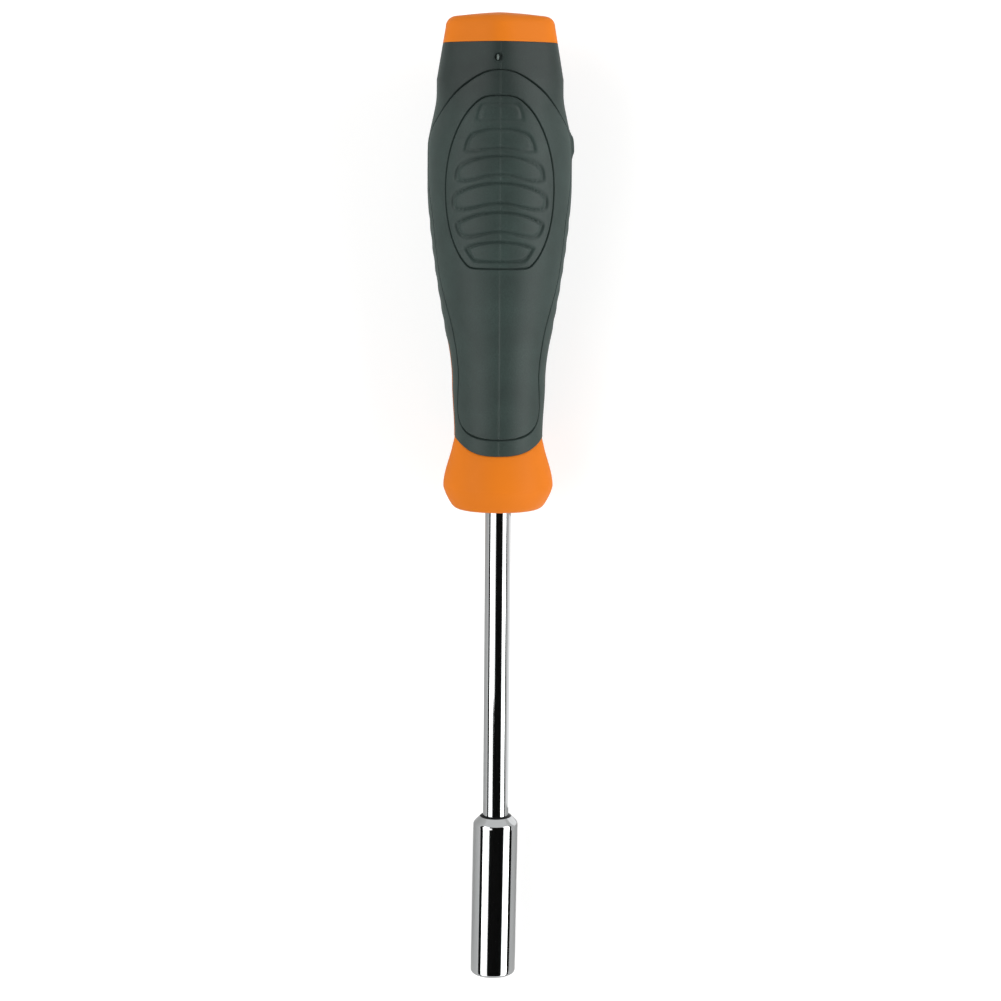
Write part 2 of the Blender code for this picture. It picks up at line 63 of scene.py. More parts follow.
# The tool's own directions: along the axis to the tip, to its right side, out of its front pad
SEAT = np.array(MOUNTS["bit_seat"]["pos_m"])
ALONG = np.array(MOUNTS["bit_seat"]["axis"])
RIGHT = np.array([1.0, 0.0, 0.0])
FRONT = np.cross(ALONG, RIGHT)


def linear(code):
    """An sRGB hex code as the linear colour that a shader takes."""
    channels = np.array([int(code[place:place + 2], 16) for place in (1, 3, 5)]) / 255
    low = channels / 12.92
    high = ((channels + 0.055) / 1.055) ** 2.4
    return (*np.where(channels <= 0.04045, low, high).tolist(), 1.0)


def length(label, millimetres, text):
    """A size property, written in millimetres and kept in metres."""
    return FloatProperty(
        name=label, description=text, default=millimetres * MM,
        precision=5, subtype="DISTANCE", unit="LENGTH",
    )


def turn(label, degrees, text):
    """An angle property, written in degrees and kept in radians."""
    return FloatProperty(
        name=label, description=text, default=math.radians(degrees), subtype="ANGLE", unit="ROTATION",
    )


def number(label, value, text):
    """A plain factor."""
    return FloatProperty(name=label, description=text, default=value, precision=3)


def colour(label, code, text):
    """A colour property, written as an sRGB hex code."""
    return FloatVectorProperty(
        name=label, description=text, default=linear(code), size=4, min=0.0, max=1.0, subtype="COLOR",
    )


WHITE = linear("#FFFFFF")
BLACK = linear("#000000")


class HandleSizes(bpy.types.PropertyGroup):
    """Outline of the handle, in distances from the butt end and half-widths."""

    length: length("Length", 112.5, "From the butt end to the end of the nose")
    cap_height: length("Cap height", 7.0, "Orange butt cap above the grip")
    cap_crown: length("Cap crown", 1.1, "Rise of the butt's middle over its edge")
    cap_edge: length("Cap edge", 2.2, "Rounding of the butt's edge")
    butt_radius: length("Butt radius", 12.3, "Half-width at the butt's edge")
    shoulder_radius: length("Shoulder radius", 14.3, "Half-width of the straight shoulder")
    shoulder_start: length("Shoulder start", 15.0, "Where the butt's taper ends")
    shoulder_end: length("Shoulder end", 19.7, "Where the belly begins to swell")
    belly_radius: length("Belly radius", 16.4, "Half-width of the belly")
    belly_start: length("Belly start", 28.9, "Where the belly reaches its full width")
    belly_end: length("Belly end", 39.0, "Where the belly begins to narrow")
    waist_radius: length("Waist radius", 12.2, "Half-width where the narrowing turns hollow")
    waist: length("Waist", 72.0, "Where the narrowing turns hollow")
    neck_start_radius: length("Neck start radius", 10.8, "Half-width at the upper end of the neck")
    neck_start: length("Neck start", 83.0, "Upper end of the neck")
    neck_radius: length("Neck radius", 10.25, "Half-width of the neck")
    neck: length("Neck", 95.5, "Where the neck is narrowest")
    nose_radius: length("Nose radius", 12.66, "Half-width of the nose's bulge")
    nose_bulge: length("Nose bulge", 107.3, "Where the nose is widest")
    nose_end_radius: length("Nose end radius", 9.6, "Half-width of the nose's end")
    facet_sharpness: number("Facet sharpness", 8.0, "How flat the six sides of the butt are")
    grip_top: length("Grip top", 7.02, "Upper edge of the soft grip")
    grip_edge_front: length("Grip edge at the front", 99.4, "Lower edge of the grip at its front and rear")
    grip_edge_side: length("Grip edge at the side", 95.9, "Lower edge of the grip at its sides")
    edge_round: length("Edge rounding", 0.3, "Rounding of the moulded edges")
    joint_round: length("Joint rounding", 0.08, "Rounding where the grip meets the cap")
    lip: length("Lip", 1.6, "How far a hidden edge turns in")
    tongue_top: length("Tongue top", 73.0, "Upper end of the orange side tongues")
    tongue_width: length("Tongue width", 3.2, "Width of the orange side tongues")
    tongue_recess: length("Tongue recess", 0.17, "How far the tongues lie below the grip")
    tongue_turn: turn("Tongue turn", 3.6, "Turn of both tongues, the left one to the front")
    nose_sink: length("Nose sink", 0.18, "How far the nose starts below the grip's edge")
    nose_rise: length("Nose rise", 2.0, "Over what length the nose rises from there")


class GripPattern(bpy.types.PropertyGroup):
    """Grooves and raised forms of the soft grip, alike on its front and rear."""

    oval_top: length("Oval top", 18.6, "Upper end of the oval groove")
    oval_widest: length("Oval widest", 39.0, "Where the oval is widest")
    oval_end: length("Oval end", 56.9, "Lower end of the oval groove")
    oval_above: length("Oval above", 0.6, "How far the oval's upper curve would rise past its level end")
    oval_below: length("Oval below", 2.6, "How far the oval's lower curve would fall past its level end")
    oval_half_width: length("Oval half-width", 12.1, "Half the width of the oval, seen from the front")
    oval_groove_width: length("Oval groove width", 0.62, "Width of the oval groove")
    oval_groove_depth: length("Oval groove depth", 0.38, "Depth of the oval groove at its sides")
    loop_top: length("Loop top", 13.1, "Upper end of the long loop groove")
    loop_end: length("Loop end", 95.7, "Lower end of the long loop groove")
    loop_above: length("Loop above", 0.45, "How far the loop's arch would rise past its rounded top")
    loop_arch: length("Loop arch", 40.0, "Where the loop's arch would be widest")
    loop_arch_angle: turn("Loop arch angle", 112.0, "How far round the handle the arch would reach there")
    loop_shoulder: length("Loop shoulder", 33.0, "Where the loop begins to narrow")
    loop_panel: length("Loop panel", 47.5, "Where the loop reaches the ribbed side panel")
    loop_panel_end: length("Loop panel end", 57.0, "Where the loop leaves the ribbed side panel")
    loop_waist: length("Loop waist", 73.0, "Where the loop is narrowest")
    loop_flare: length("Loop flare", 80.0, "Where the loop begins to widen again")
    loop_corner: length("Loop corner", 88.0, "Where the loop begins to close")
    loop_belly_angle: turn("Loop angle at the belly", 80.0, "Reach of the loop round the belly")
    loop_panel_angle: turn("Loop angle at the panel", 69.5, "Reach of the loop beside the side panel")
    loop_waist_angle: turn("Loop angle at the waist", 57.5, "Reach of the loop round the waist")
    loop_neck_angle: turn("Loop angle at the neck", 66.0, "Reach of the loop round the neck")
    loop_groove_width: length("Loop groove width", 0.6, "Width of the loop groove")
    loop_groove_depth: length("Loop groove depth", 0.42, "Depth of the loop groove at its sides")
    pad_line_width: length("Pad line width", 0.36, "Half the width of the soft lines round the six pads")
    pad_line_depth: length("Pad line depth", 0.55, "Depth of those lines at a pad's upper edge")
    seam_width: length("Seam width", 0.13, "Half the width of the mould's parting line")
    seam_height: length("Seam height", 0.055, "Parting line of the mould along the front and the rear")
    gate: length("Gate", 10.5, "Place of the moulding gate's dimple")
    gate_left: length("Gate to the left", 0.36, "Step of the dimple to the left of the parting line")
    gate_radius: length("Gate radius", 0.95, "Radius of the dimple")
    gate_depth: length("Gate depth", 0.6, "Depth of the dimple")
    stub_step: length("Stub step", 0.2, "Step of the gate's torn stub to the left of the dimple's middle")
    stub_width: length("Stub width", 0.6, "Width of the stub")
    stub_length: length("Stub length", 1.4, "Length of the stub along the handle")
    boss: length("Boss", 29.4, "Middle of the bare boss on the right side")
    boss_length: length("Boss length", 6.2, "Length of the boss along the handle")
    boss_width: length("Boss width", 5.0, "Width of the boss round the handle")
    boss_height: length("Boss height", 0.52, "How far the boss stands proud")
    rib_start: length("Ribs start", 44.0, "Upper end of the ribbed side panels")
    rib_end: length("Ribs end", 71.6, "Lower end of the ribbed side panels")
    rib_half_width: length("Rib half-width", 4.2, "Half the width of the ribbed side panels")
    rib_pitch: length("Rib pitch", 4.6, "Spacing of the side ribs")
    rib_depth: length("Rib depth", 0.13, "Depth of the hollows between the side ribs")


class SteelSizes(bpy.types.PropertyGroup):
    """Chromed shaft and bit holder, in distances from the butt end."""

    shaft_radius: length("Shaft radius", 3.0, "Half the shaft's diameter")
    shaft_step: length("Shaft step", 0.075, "How far the shaft leaves the nose to the right of its middle")
    shaft_lean: turn("Shaft lean", 0.15, "How far the shaft leans to the left of the handle's axis")
    holder_lean: turn("Holder lean", 0.6, "How far the holder leans to the left of the shaft")
    holder_top: length("Holder top", 186.2, "Rear face of the bit holder")
    tool_length: length("Tool length", 224.6, "Mouth of the bit holder")
    holder_radius: length("Holder radius", 5.254, "Half the holder's diameter")
    shoulder: length("Shoulder", 1.55, "Chamfer of the holder's rear edge")
    shoulder_round: length("Shoulder rounding", 0.25, "Softness of the chamfer's edge")
    edge_round: length("Edge rounding", 0.8, "Rounding of the holder's mouth")
    countersink: length("Countersink", 0.55, "Width of the gap round the shaft")
    gap_depth: length("Gap depth", 1.6, "Depth of that gap")
    bore_radius: length("Bore radius", 3.1, "Bore round the shaft")
    hex_across_flats: length("Hex across flats", 6.45, "Width of the quarter-inch socket")
    hex_depth: length("Hex depth", 17.0, "Depth of the socket")
    lead_in: length("Lead-in", 0.3, "Chamfer round the mouth of the socket")
    ring_from_mouth: length("Ring from mouth", 4.0, "Place of the sprung ring's groove")
    ring_groove: length("Ring groove", 1.2, "Width of the sprung ring's groove")
    ring_groove_radius: length("Ring groove radius", 4.404, "Radius of the sprung ring's groove")
    pocket_radius: length("Pocket radius", 3.0, "Radius of the magnet's pocket")
    pocket_depth: length("Pocket depth", 4.2, "Depth of the magnet's pocket")


class FinishColours(bpy.types.PropertyGroup):
    """Colours of the plastics and the metals."""

    orange: colour("Orange", "#E87E20", "Hard plastic of the cap, the nose and the tongues")
    slate: colour("Slate", "#2C3B37", "Soft plastic of the grip")
    bloom: colour("Bloom", "#C4D6D2", "Grey bloom of the soft plastic at a flat angle")
    # Paler grey of the gate's stub: a painted highlight for its glint
    torn: colour("Torn", "#66726E", "Torn soft plastic at the gate")
    core: colour("Core", "#606264", "Plain plastic round the tang")
    chrome: colour("Chrome", "#C8CACB", "Bright plate of the shaft and the holder")
    nickel: colour("Nickel", "#C9C6BE", "Plate of the magnet")
    wire: colour("Spring wire", "#8A8C90", "Drawn wire of the sprung ring")
    # Painted shade: the near-black of the cone in the gap behind the holder, where that gap lies in shadow
    bare: colour("Bare steel", "#1C1D1E", "Unplated collar between the shaft and the holder")


class StudioSettings(bpy.types.PropertyGroup):
    """Camera, soft boxes, drape, room and floor."""

    lens: number("Lens", 83.6, "Focal length in millimetres on a 36 mm sensor")
    camera_distance: length("Camera distance", 533.0, "From the camera to the tool's axis")
    camera_foot: length("Camera foot", 32.9, "Distance from the butt of the point square below the camera")
    camera_tilt: turn("Camera tilt", 8.33, "Lean of the view towards the tip")
    camera_side: turn("Camera side", 0.3, "How far the camera stands to the left of the front pad")
    camera_roll: turn("Camera roll", 0.33, "Turn of the picture")
    camera_shift: length("Camera shift", 0.62, "Step of the camera to the right")
    left_inner: turn("Left box inner edge", 31.5, "Angle of the left box's inner edge from straight up")
    left_outer: turn("Left box outer edge", 66.5, "Angle of its outer edge")
    left_brightness: number("Left brightness", 2.75, "Mean radiance of the left box, where 1 is white")
    right_inner: turn("Right box inner edge", 44.0, "Angle of the right box's inner edge from straight up")
    right_outer: turn("Right box outer edge", 77.0, "Angle of its outer edge")
    right_brightness: number("Right brightness", 3.85, "Mean radiance of the right box, where 1 is white")
    box_distance: length("Box distance", 700.0, "From the tool to the soft boxes")
    box_length: length("Box length", 1400.0, "Length of the soft boxes along the tool")
    box_step: length("Box step", 120.0, "Step of the soft boxes towards the tip")
    top_inner: turn("Top box inner edge", 17.0, "Angle of the short box's inner edge, left of straight up")
    top_brightness: number("Top brightness", 1.95, "Radiance of the short box, which ends at the left box")
    top_length: length("Top box length", 248.0, "Length of the short box along the tool")
    top_step: length("Top box step", 124.0, "Step of the short box towards the tip")
    box_slope: number("Box slope", 0.33, "Gain of a box's outer third, and loss of its inner third")
    drape_radius: length("Drape radius", 1000.0, "Radius of the black drape arched over the set")
    drape_to_tip: length("Drape to the tip", 1200.0, "Its reach from the tool's middle, past the tip")
    drape_to_butt: length("Drape to the butt", 800.0, "Its reach past the butt")
    drape_left: turn("Drape left edge", 84.5, "Angle of the drape's left edge from straight up")
    drape_right: turn("Drape right edge", 90.0, "Angle of the drape's right edge from straight up")
    velvet: colour("Velvet", "#1D1D1D", "Black cloth of the drape")
    room: number("Room", 0.8, "Radiance of the pale room past the ends of the drape")
    floor: colour("Floor", "#C2C2C1", "Card under the tool")
    floor_glow: number("Floor glow", 0.64, "Light that lifts the card to white for the camera")
    floor_mirror: number("Floor in mirrors", 0.15, "Share of that light that shiny pieces show")


def on_bench(distance, angle, radius):
    """Point on the tool: along the axis by the distance, then out by the radius at the angle."""
    steel = bpy.context.scene.screwdriver_steel
    past_seat = distance - (steel.tool_length - steel.hex_depth)
    shape = np.broadcast(distance, angle, radius).shape
    point = np.broadcast_to(past_seat, shape)[..., None] * ALONG
    point = point + np.broadcast_to(radius * np.sin(angle), shape)[..., None] * RIGHT
    return SEAT + point + np.broadcast_to(radius * np.cos(angle), shape)[..., None] * FRONT


# Powers of the outline's bent runs, share and power of a chamfer's rounding, softness of a ramp's corners
LEAVING_POWER = 1.5
ARRIVING_POWER = 1.75
CHAMFER_POWER = 1.4
CHAMFER_ROUND_SHARE = 0.2
CHAMFER_ROUND_POWER = 16
RAMP_SOFTNESS = 0.12

# The three pairs of flats of the butt's hexagon, and the power that makes it a circle
FLATS = np.radians([30.0, 90.0, 150.0])
CIRCLE_POWER = 2

# How flat the lower edge of the grip runs at the front
GRIP_EDGE_POWER = 2.8


def eased(share):
    """Smooth step 3t^2 - 2t^3 of a share held between 0 and 1."""
    share = np.clip(share, 0.0, 1.0)
    return share * share * (3 - 2 * share)


def straight(share):
    """A straight run of a share held between 0 and 1."""
    return np.clip(share, 0.0, 1.0)


def leaving(share):
    """Run t^p of a share held between 0 and 1, level at its start."""
    return straight(share) ** LEAVING_POWER


def arriving(share):
    """Run 1 - (1 - t)^p of a share held between 0 and 1, level at its end."""
    return 1 - (1 - straight(share)) ** ARRIVING_POWER


def chamfered(share):
    """Run (1 - s) t^p + s t^q: a bent chamfer with a small rounding at its end."""
    share = straight(share)
    bent = (1 - CHAMFER_ROUND_SHARE) * share ** CHAMFER_POWER
    return bent + CHAMFER_ROUND_SHARE * share ** CHAMFER_ROUND_POWER


def soft_greater(one, other, soft):
    """Smooth greater of two values, (a + b + sqrt((a - b)^2 + e^2)) / 2."""
    return (one + other + np.hypot(one - other, soft)) / 2


def soft_lesser(one, other, soft):
    """Smooth lesser of two values, (a + b - sqrt((a - b)^2 + e^2)) / 2."""
    return (one + other - np.hypot(one - other, soft)) / 2


def ramped(share):
    """A straight run of a share from 0 to 1 with both its corners rounded."""
    return soft_lesser(soft_greater(share, 0.0, RAMP_SOFTNESS), 1.0, RAMP_SOFTNESS)


def outline(distance):
    """Half-width of the handle: the stations of its outline joined by straight, eased and bent runs."""
    handle = bpy.context.scene.screwdriver_handle
    stations = (
        (handle.cap_crown + handle.cap_edge, handle.butt_radius, straight),
        (handle.shoulder_start, handle.shoulder_radius, straight),
        (handle.shoulder_end, handle.shoulder_radius, ramped),
        (handle.belly_start, handle.belly_radius, straight),
        (handle.belly_end, handle.belly_radius, leaving),
        (handle.waist, handle.waist_radius, arriving),
        (handle.neck_start, handle.neck_start_radius, eased),
        (handle.neck, handle.neck_radius, eased),
        (handle.nose_bulge, handle.nose_radius, chamfered),
        (handle.length, handle.nose_end_radius, straight),
    )
    radius = np.full(np.shape(distance), handle.butt_radius)
    for (start, from_radius, run), (end, to_radius, _) in zip(stations, stations[1:]):
        radius = radius + (to_radius - from_radius) * run((distance - start) / (end - start))
    return radius


def facet(angle, distance):
    """Rounded hexagon (sum of |cos|^p over the flats)^(-1/p), with p fading from sharp to 2, a circle."""
    handle = bpy.context.scene.screwdriver_handle
    fade = eased((distance - handle.cap_height) / (handle.belly_start - handle.cap_height))
    power = handle.facet_sharpness + (CIRCLE_POWER - handle.facet_sharpness) * fade
    reach = sum(np.abs(np.cos(angle - flat)) ** power for flat in FLATS)
    widest = sum(np.abs(np.cos(math.pi / 2 - flat)) ** power for flat in FLATS)
    return (widest / reach) ** (1 / power)


def grip_edge(angle):
    """Lower edge of the grip: b - (b - a) |sin|^p of the angle, lowest at the front and the rear."""
    handle = bpy.context.scene.screwdriver_handle
    rise = handle.grip_edge_front - handle.grip_edge_side
    return handle.grip_edge_front - rise * np.abs(np.sin(angle)) ** GRIP_EDGE_POWER


def turned_by(angle):
    """How far the tongues and the edge beside them are turned: sin^2 of the angle, so none at the front."""
    return bpy.context.scene.screwdriver_handle.tongue_turn * np.sin(angle) ** 2


# Points of a finely drawn path
PATH_POINTS = 4001
STRETCH_POINTS = 200

# Powers of the oval above and below its widest place, and how softly its level ends meet its sides
OVAL_TOP_POWER = 1.95
OVAL_END_POWER = 2.25
OVAL_SOFTNESS = 0.8 * MM

# Powers of the loop's arch and of its closing, and how softly the arch meets the sides and its top
ARCH_POWER = 1.4
CLOSING_POWER = 2.45
ARCH_SOFTNESS = math.radians(5.0)
ARCH_TOP_SOFTNESS = 0.6 * MM


def squared_circle(angle, squareness):
    """Superellipse of radius 1: sin and -cos, each to the power 2 / squareness with its sign kept."""
    across = np.sign(np.sin(angle)) * np.abs(np.sin(angle)) ** (2 / squareness)
    along = -np.sign(np.cos(angle)) * np.abs(np.cos(angle)) ** (2 / squareness)
    return across, along


def spread_along(angle, distance, shares):
    """Points of a path at shares of its length, measured on the handle's surface."""
    steps = np.hypot(np.diff(distance), np.diff(angle) * outline(distance[1:]))
    run = np.concatenate([[0.0], np.cumsum(steps)])
    return np.interp(shares, run / run[-1], angle), np.interp(shares, run / run[-1], distance)


def outward_on_surface(angle, distance):
    """Unit normals of a path from its top to its end, out from its middle, in lengths on the surface."""
    radius = outline(distance)
    across = np.gradient(angle) * radius
    along = np.gradient(distance)
    size = np.hypot(across, along)
    return along / size, -across / size


def oval_path(shares):
    """Right half of the oval: one superellipse above its widest place and one below, cut off level."""
    grip = bpy.context.scene.screwdriver_grip
    sweep = np.linspace(0.0, math.pi, PATH_POINTS)
    across, along = squared_circle(sweep, np.where(np.cos(sweep) > 0, OVAL_TOP_POWER, OVAL_END_POWER))
    above = grip.oval_widest - grip.oval_top + grip.oval_above
    below = grip.oval_end - grip.oval_widest + grip.oval_below
    distance = grip.oval_widest + along * np.where(along < 0, above, below)
    distance = soft_greater(distance, grip.oval_top, OVAL_SOFTNESS)
    distance = soft_lesser(distance, grip.oval_end, OVAL_SOFTNESS)
    angle = np.arcsin(np.abs(across) * grip.oval_half_width / outline(distance))
    return spread_along(angle, distance, shares)


def loop_path(shares):
    """Right half of the long loop: the smooth lesser of an arch and a reach round the handle, closed below.

    The arch and the closing are superellipse shares (1 - t^p)^(1/p)."""
    grip = bpy.context.scene.screwdriver_grip
    sweep = np.linspace(0.0, math.pi, PATH_POINTS)
    start = grip.loop_top - grip.loop_above
    distance = start + (grip.loop_end - start) * (1 - np.cos(sweep)) / 2
    to_panel = eased((distance - grip.loop_shoulder) / (grip.loop_panel - grip.loop_shoulder))
    to_waist = eased((distance - grip.loop_panel_end) / (grip.loop_waist - grip.loop_panel_end))
    to_neck = eased((distance - grip.loop_flare) / (grip.loop_end - grip.loop_flare))
    reach = grip.loop_belly_angle + (grip.loop_panel_angle - grip.loop_belly_angle) * to_panel
    reach = reach + (grip.loop_waist_angle - grip.loop_panel_angle) * to_waist
    reach = reach + (grip.loop_neck_angle - grip.loop_waist_angle) * to_neck
    above = straight((grip.loop_arch - distance) / (grip.loop_arch - start))
    below = straight((distance - grip.loop_corner) / (grip.loop_end - grip.loop_corner))
    arch = grip.loop_arch_angle * (1 - above ** ARCH_POWER) ** (1 / ARCH_POWER)
    reach = soft_lesser(reach, arch, ARCH_SOFTNESS * straight(arch))
    reach = reach * (1 - below ** CLOSING_POWER) ** (1 / CLOSING_POWER)
    return spread_along(reach, soft_greater(distance, grip.loop_top, ARCH_TOP_SOFTNESS), shares)


def edge_path(columns):
    """Right half of the grip's edge: its top, the side line to the tongue, the tongue and the lower edge.

    The columns are cut at the shares of EDGE_BREAKS, one stretch for each part of the edge."""
    handle = bpy.context.scene.screwdriver_handle
    inset = handle.edge_round
    quarter = math.pi / 2
    half_width = handle.tongue_width / 2 + inset
    top = handle.grip_top + handle.joint_round
    tongue_top = handle.tongue_top - inset
    sweep = np.linspace(0.0, quarter, STRETCH_POINTS)
    run = np.linspace(0.0, 1.0, STRETCH_POINTS)
    round_end = tongue_top + half_width * (1 - np.cos(sweep))
    corner_angle = quarter - math.asin(half_width / handle.neck_radius)
    corner = grip_edge(corner_angle) - inset
    straight_run = tongue_top + half_width + run[1:] * (corner - tongue_top - half_width)
    tongue_distance = np.concatenate([round_end, straight_run])
    tongue_half = np.concatenate([half_width * np.sin(sweep), np.full(run.size - 1, half_width)])
    tongue_angle = quarter - np.arcsin(tongue_half / outline(tongue_distance))
    lower_angle = tongue_angle[-1] * (1 - run)
    stretches = (
        (quarter * run, np.full(run.size, top)),
        (np.full(run.size, quarter), top + (tongue_top - top) * run),
        (tongue_angle, tongue_distance),
        (lower_angle, grip_edge(lower_angle) - inset),
    )
    angle = np.zeros_like(columns)
    distance = np.zeros_like(columns)
    for (angles, distances), start, end in zip(stretches, EDGE_BREAKS, EDGE_BREAKS[1:]):
        within = (columns >= start) & (columns <= end)
        shares = (columns[within] - start) / (end - start)
        angle[within], distance[within] = spread_along(angles, distances, shares)
    return angle, distance


# Shares of the columns at which the grip's edge turns: top, side line, tongue, lower edge
EDGE_BREAKS = (0.0, 0.2, 0.70, 0.875, 1.0)

# Shares of the oval's length that face those of the loop
LOOP_SHARES = (0.0, 0.2, 0.30, 0.42, 0.55, 0.70, 0.875, 1.0)
OVAL_SHARES = (0.0, 0.17, 0.40, 0.63, 0.83, 0.90, 0.95, 1.0)

# How close together the columns lie at the front and the sides: 0 is even, 1 touching
COLUMN_CROWDING = 0.85


def half_columns(count):
    """Shares t - c sin(2 pi t) / 2 pi, close together at both ends, with every break among them."""
    even = np.linspace(0.0, 1.0, count + 1)
    shares = even - COLUMN_CROWDING * np.sin(2 * math.pi * even) / (2 * math.pi)
    for place in EDGE_BREAKS:
        shares[np.argmin(np.abs(shares - place))] = place
    return shares


def both_sides(half):
    """A right half's rows, carried on by their mirror image on the left."""
    return np.concatenate([half, half[..., -2:0:-1]], axis=-1)


def side_signs(count):
    """Signs that mirror the left half's angles."""
    return np.concatenate([np.ones(count + 1), -np.ones(count - 1)])


def blend_rows(start, end, shares):
    """Rows of a grid between two paths, at shares from one to the other."""
    return start + (end - start) * np.asarray(shares)[:, None]


def offset_rows(angle, distance, offsets):
    """Rows beside a path at offsets out from its middle, measured on the surface."""
    across, along = outward_on_surface(angle, distance)
    across[0] = across[-1] = 0.0
    offsets = np.asarray(offsets)[:, None]
    return angle + offsets * across / outline(distance), distance + offsets * along


# Pads in the oval, from the butt down, in millimetres: upper and lower edge at the middle, half-width at
# each, how much lower each edge hangs at its ends, and a share of the full depth
PADS = (
    (20.5, 24.2, 4.1, 5.2, 0.2, 0.0, 0.5),
    (26.1, 30.2, 6.7, 7.9, 1.4, 0.7, 0.8),
    (32.0, 35.95, 9.4, 9.9, 2.3, 1.5, 0.9),
    (37.9, 42.25, 10.5, 10.5, 2.7, 1.5, 1.0),
    (44.3, 48.55, 10.0, 8.7, 2.7, 1.25, 1.0),
    (50.85, 55.2, 7.7, 5.7, 1.5, 0.0, 1.0),
)

# How softly a pad's lines meet, the share across at which its lower edge ends level, the farthest distance
# that counts, and how much fainter its lines are at its lower edge and its sides
PAD_SOFTNESS = 0.5 * MM
PAD_LEVEL_FROM = 0.85
PAD_FARTHEST = 20 * MM
PAD_END_FADE = 0.1
PAD_SIDE_FADE = 0.2

# Parting line: its height above the oval's end, as a share, and the depth and place of the groove beside it
SEAM_FAINT = 0.75
SEAM_GROOVE_SHARE = 0.7
SEAM_GROOVE_STEP = 2.2

# Widths of the slopes round the gate's dimple, the side panel and the boss
GATE_SLOPE = 0.35 * MM
PANEL_SLOPE = 0.8 * MM
BOSS_SLOPE = 1.3 * MM

# Powers of the superellipses that bound the side panel, across and along it, and the boss
PANEL_ACROSS_POWER = 2.6
PANEL_ALONG_POWER = 4
PANEL_ROOT = 3
BOSS_POWER = 3

# How much deeper a groove is where it runs round the handle, and how fast it gets so
GROOVE_DEEPER = 0.8
GROOVE_DEEPER_POWER = 4


def pad_relief(across, distance):
    """Soft lines round the six pads: -d exp(-(g/w)^2), where g is the smooth least distance to the edges.

    The upper edge hangs by the square of the share across, the lower by a sine squared that ends level."""
    grip = bpy.context.scene.screwdriver_grip
    relief = np.zeros(np.shape(distance))
    for *edges, strength in PADS:
        top, end, top_half, end_half, top_bow, end_bow = np.array(edges) * MM
        share = straight((distance - top - top_bow) / (end + end_bow - top - top_bow))
        half = top_half + (end_half - top_half) * share
        out = np.abs(across) / half
        below_top = distance - top - top_bow * out ** 2
        above_end = end + end_bow * np.sin(math.pi / 2 * straight(out / PAD_LEVEL_FROM)) ** 2 - distance
        gaps = np.clip([below_top, above_end, half - np.abs(across)], -PAD_FARTHEST, PAD_FARTHEST)
        near = np.exp(-gaps / PAD_SOFTNESS)
        inside = -PAD_SOFTNESS * np.log(np.sum(near, axis=0))
        at_side = near[2] / np.sum(near, axis=0)
        fade = strength * (1 - PAD_END_FADE * straight(below_top / (end - top)))
        fade = fade * (1 - PAD_SIDE_FADE * at_side)
        relief -= grip.pad_line_depth * fade * np.exp(-(inside / grip.pad_line_width) ** 2)
    return relief


def seam_relief(across, distance):
    """Parting line: a fine ridge with a shallow groove to its right, fainter above the oval's end."""
    grip = bpy.context.scene.screwdriver_grip
    fine = across / grip.seam_width
    fuller = eased((distance - grip.oval_end) / grip.oval_top)
    height = grip.seam_height * (SEAM_FAINT + (1 - SEAM_FAINT) * fuller)
    return height * (np.exp(-fine ** 2) - SEAM_GROOVE_SHARE * np.exp(-(fine - SEAM_GROOVE_STEP) ** 2))


def gate_relief(across, distance):
    """Round dimple of the moulding gate: a dish with steep sides."""
    grip = bpy.context.scene.screwdriver_grip
    reach = np.hypot(across + grip.gate_left, distance - grip.gate)
    return -grip.gate_depth * eased((grip.gate_radius - reach) / GATE_SLOPE + 0.5)


def side_relief(around, distance):
    """Ribbed side panel: cosine hollows that fade out inside a rounded outline."""
    grip = bpy.context.scene.screwdriver_grip
    middle = (grip.rib_start + grip.rib_end) / 2
    half = (grip.rib_end - grip.rib_start) / 2
    beside = np.abs(around / grip.rib_half_width) ** PANEL_ACROSS_POWER
    past = np.abs((distance - middle) / half) ** PANEL_ALONG_POWER
    gap = (1 - (beside + past) ** (1 / PANEL_ROOT)) * grip.rib_half_width
    wave = 0.5 - 0.5 * np.cos(2 * math.pi * (distance - grip.rib_start) / grip.rib_pitch)
    return -grip.rib_depth * wave * eased(gap / PANEL_SLOPE)


def boss_relief(around, distance):
    """Bare boss: a plateau with a soft edge, bounded by a superellipse."""
    grip = bpy.context.scene.screwdriver_grip
    beside = np.abs(around / (grip.boss_width / 2)) ** BOSS_POWER
    past = np.abs((distance - grip.boss) / (grip.boss_length / 2)) ** BOSS_POWER
    gap = (1 - (beside + past) ** (1 / BOSS_POWER)) * grip.boss_width / 2
    return grip.boss_height * eased(gap / BOSS_SLOPE)


def groove_profile(offset, width, depth, path):
    """Round-bottomed groove: a cosine wave across its width, deeper where its path runs round the handle."""
    _, along = outward_on_surface(*path)
    share = np.clip(np.abs(offset) / (width / 2), 0.0, 1.0)
    wave = 0.5 + 0.5 * np.cos(math.pi * share)
    return -depth * wave[:, None] * (1 + GROOVE_DEEPER * along ** GROOVE_DEEPER_POWER)


def grip_surface(angle, distance, relief):
    """Radius of the grip at an angle from the front pad: the faceted outline, with the relief added."""
    return outline(distance) * facet(angle, distance) + relief


# Points closer than this are one, and edges sharper than this are creased
MERGE_DISTANCE = 0.001 * MM
SHARP_ANGLE = math.radians(40.0)


def grid_quads(rows, columns, wrap, turned=False):
    """Quads of a grid whose rows run down and columns to the right, seen from outside, or turned over."""
    index = np.arange(rows * columns).reshape(rows, columns)
    if wrap:
        index = np.concatenate([index, index[:, :1]], axis=1)
    corners = [index[:-1, :-1], index[1:, :-1], index[1:, 1:], index[:-1, 1:]]
    if turned:
        corners.reverse()
    return np.stack(corners, axis=-1).reshape(-1, 4)


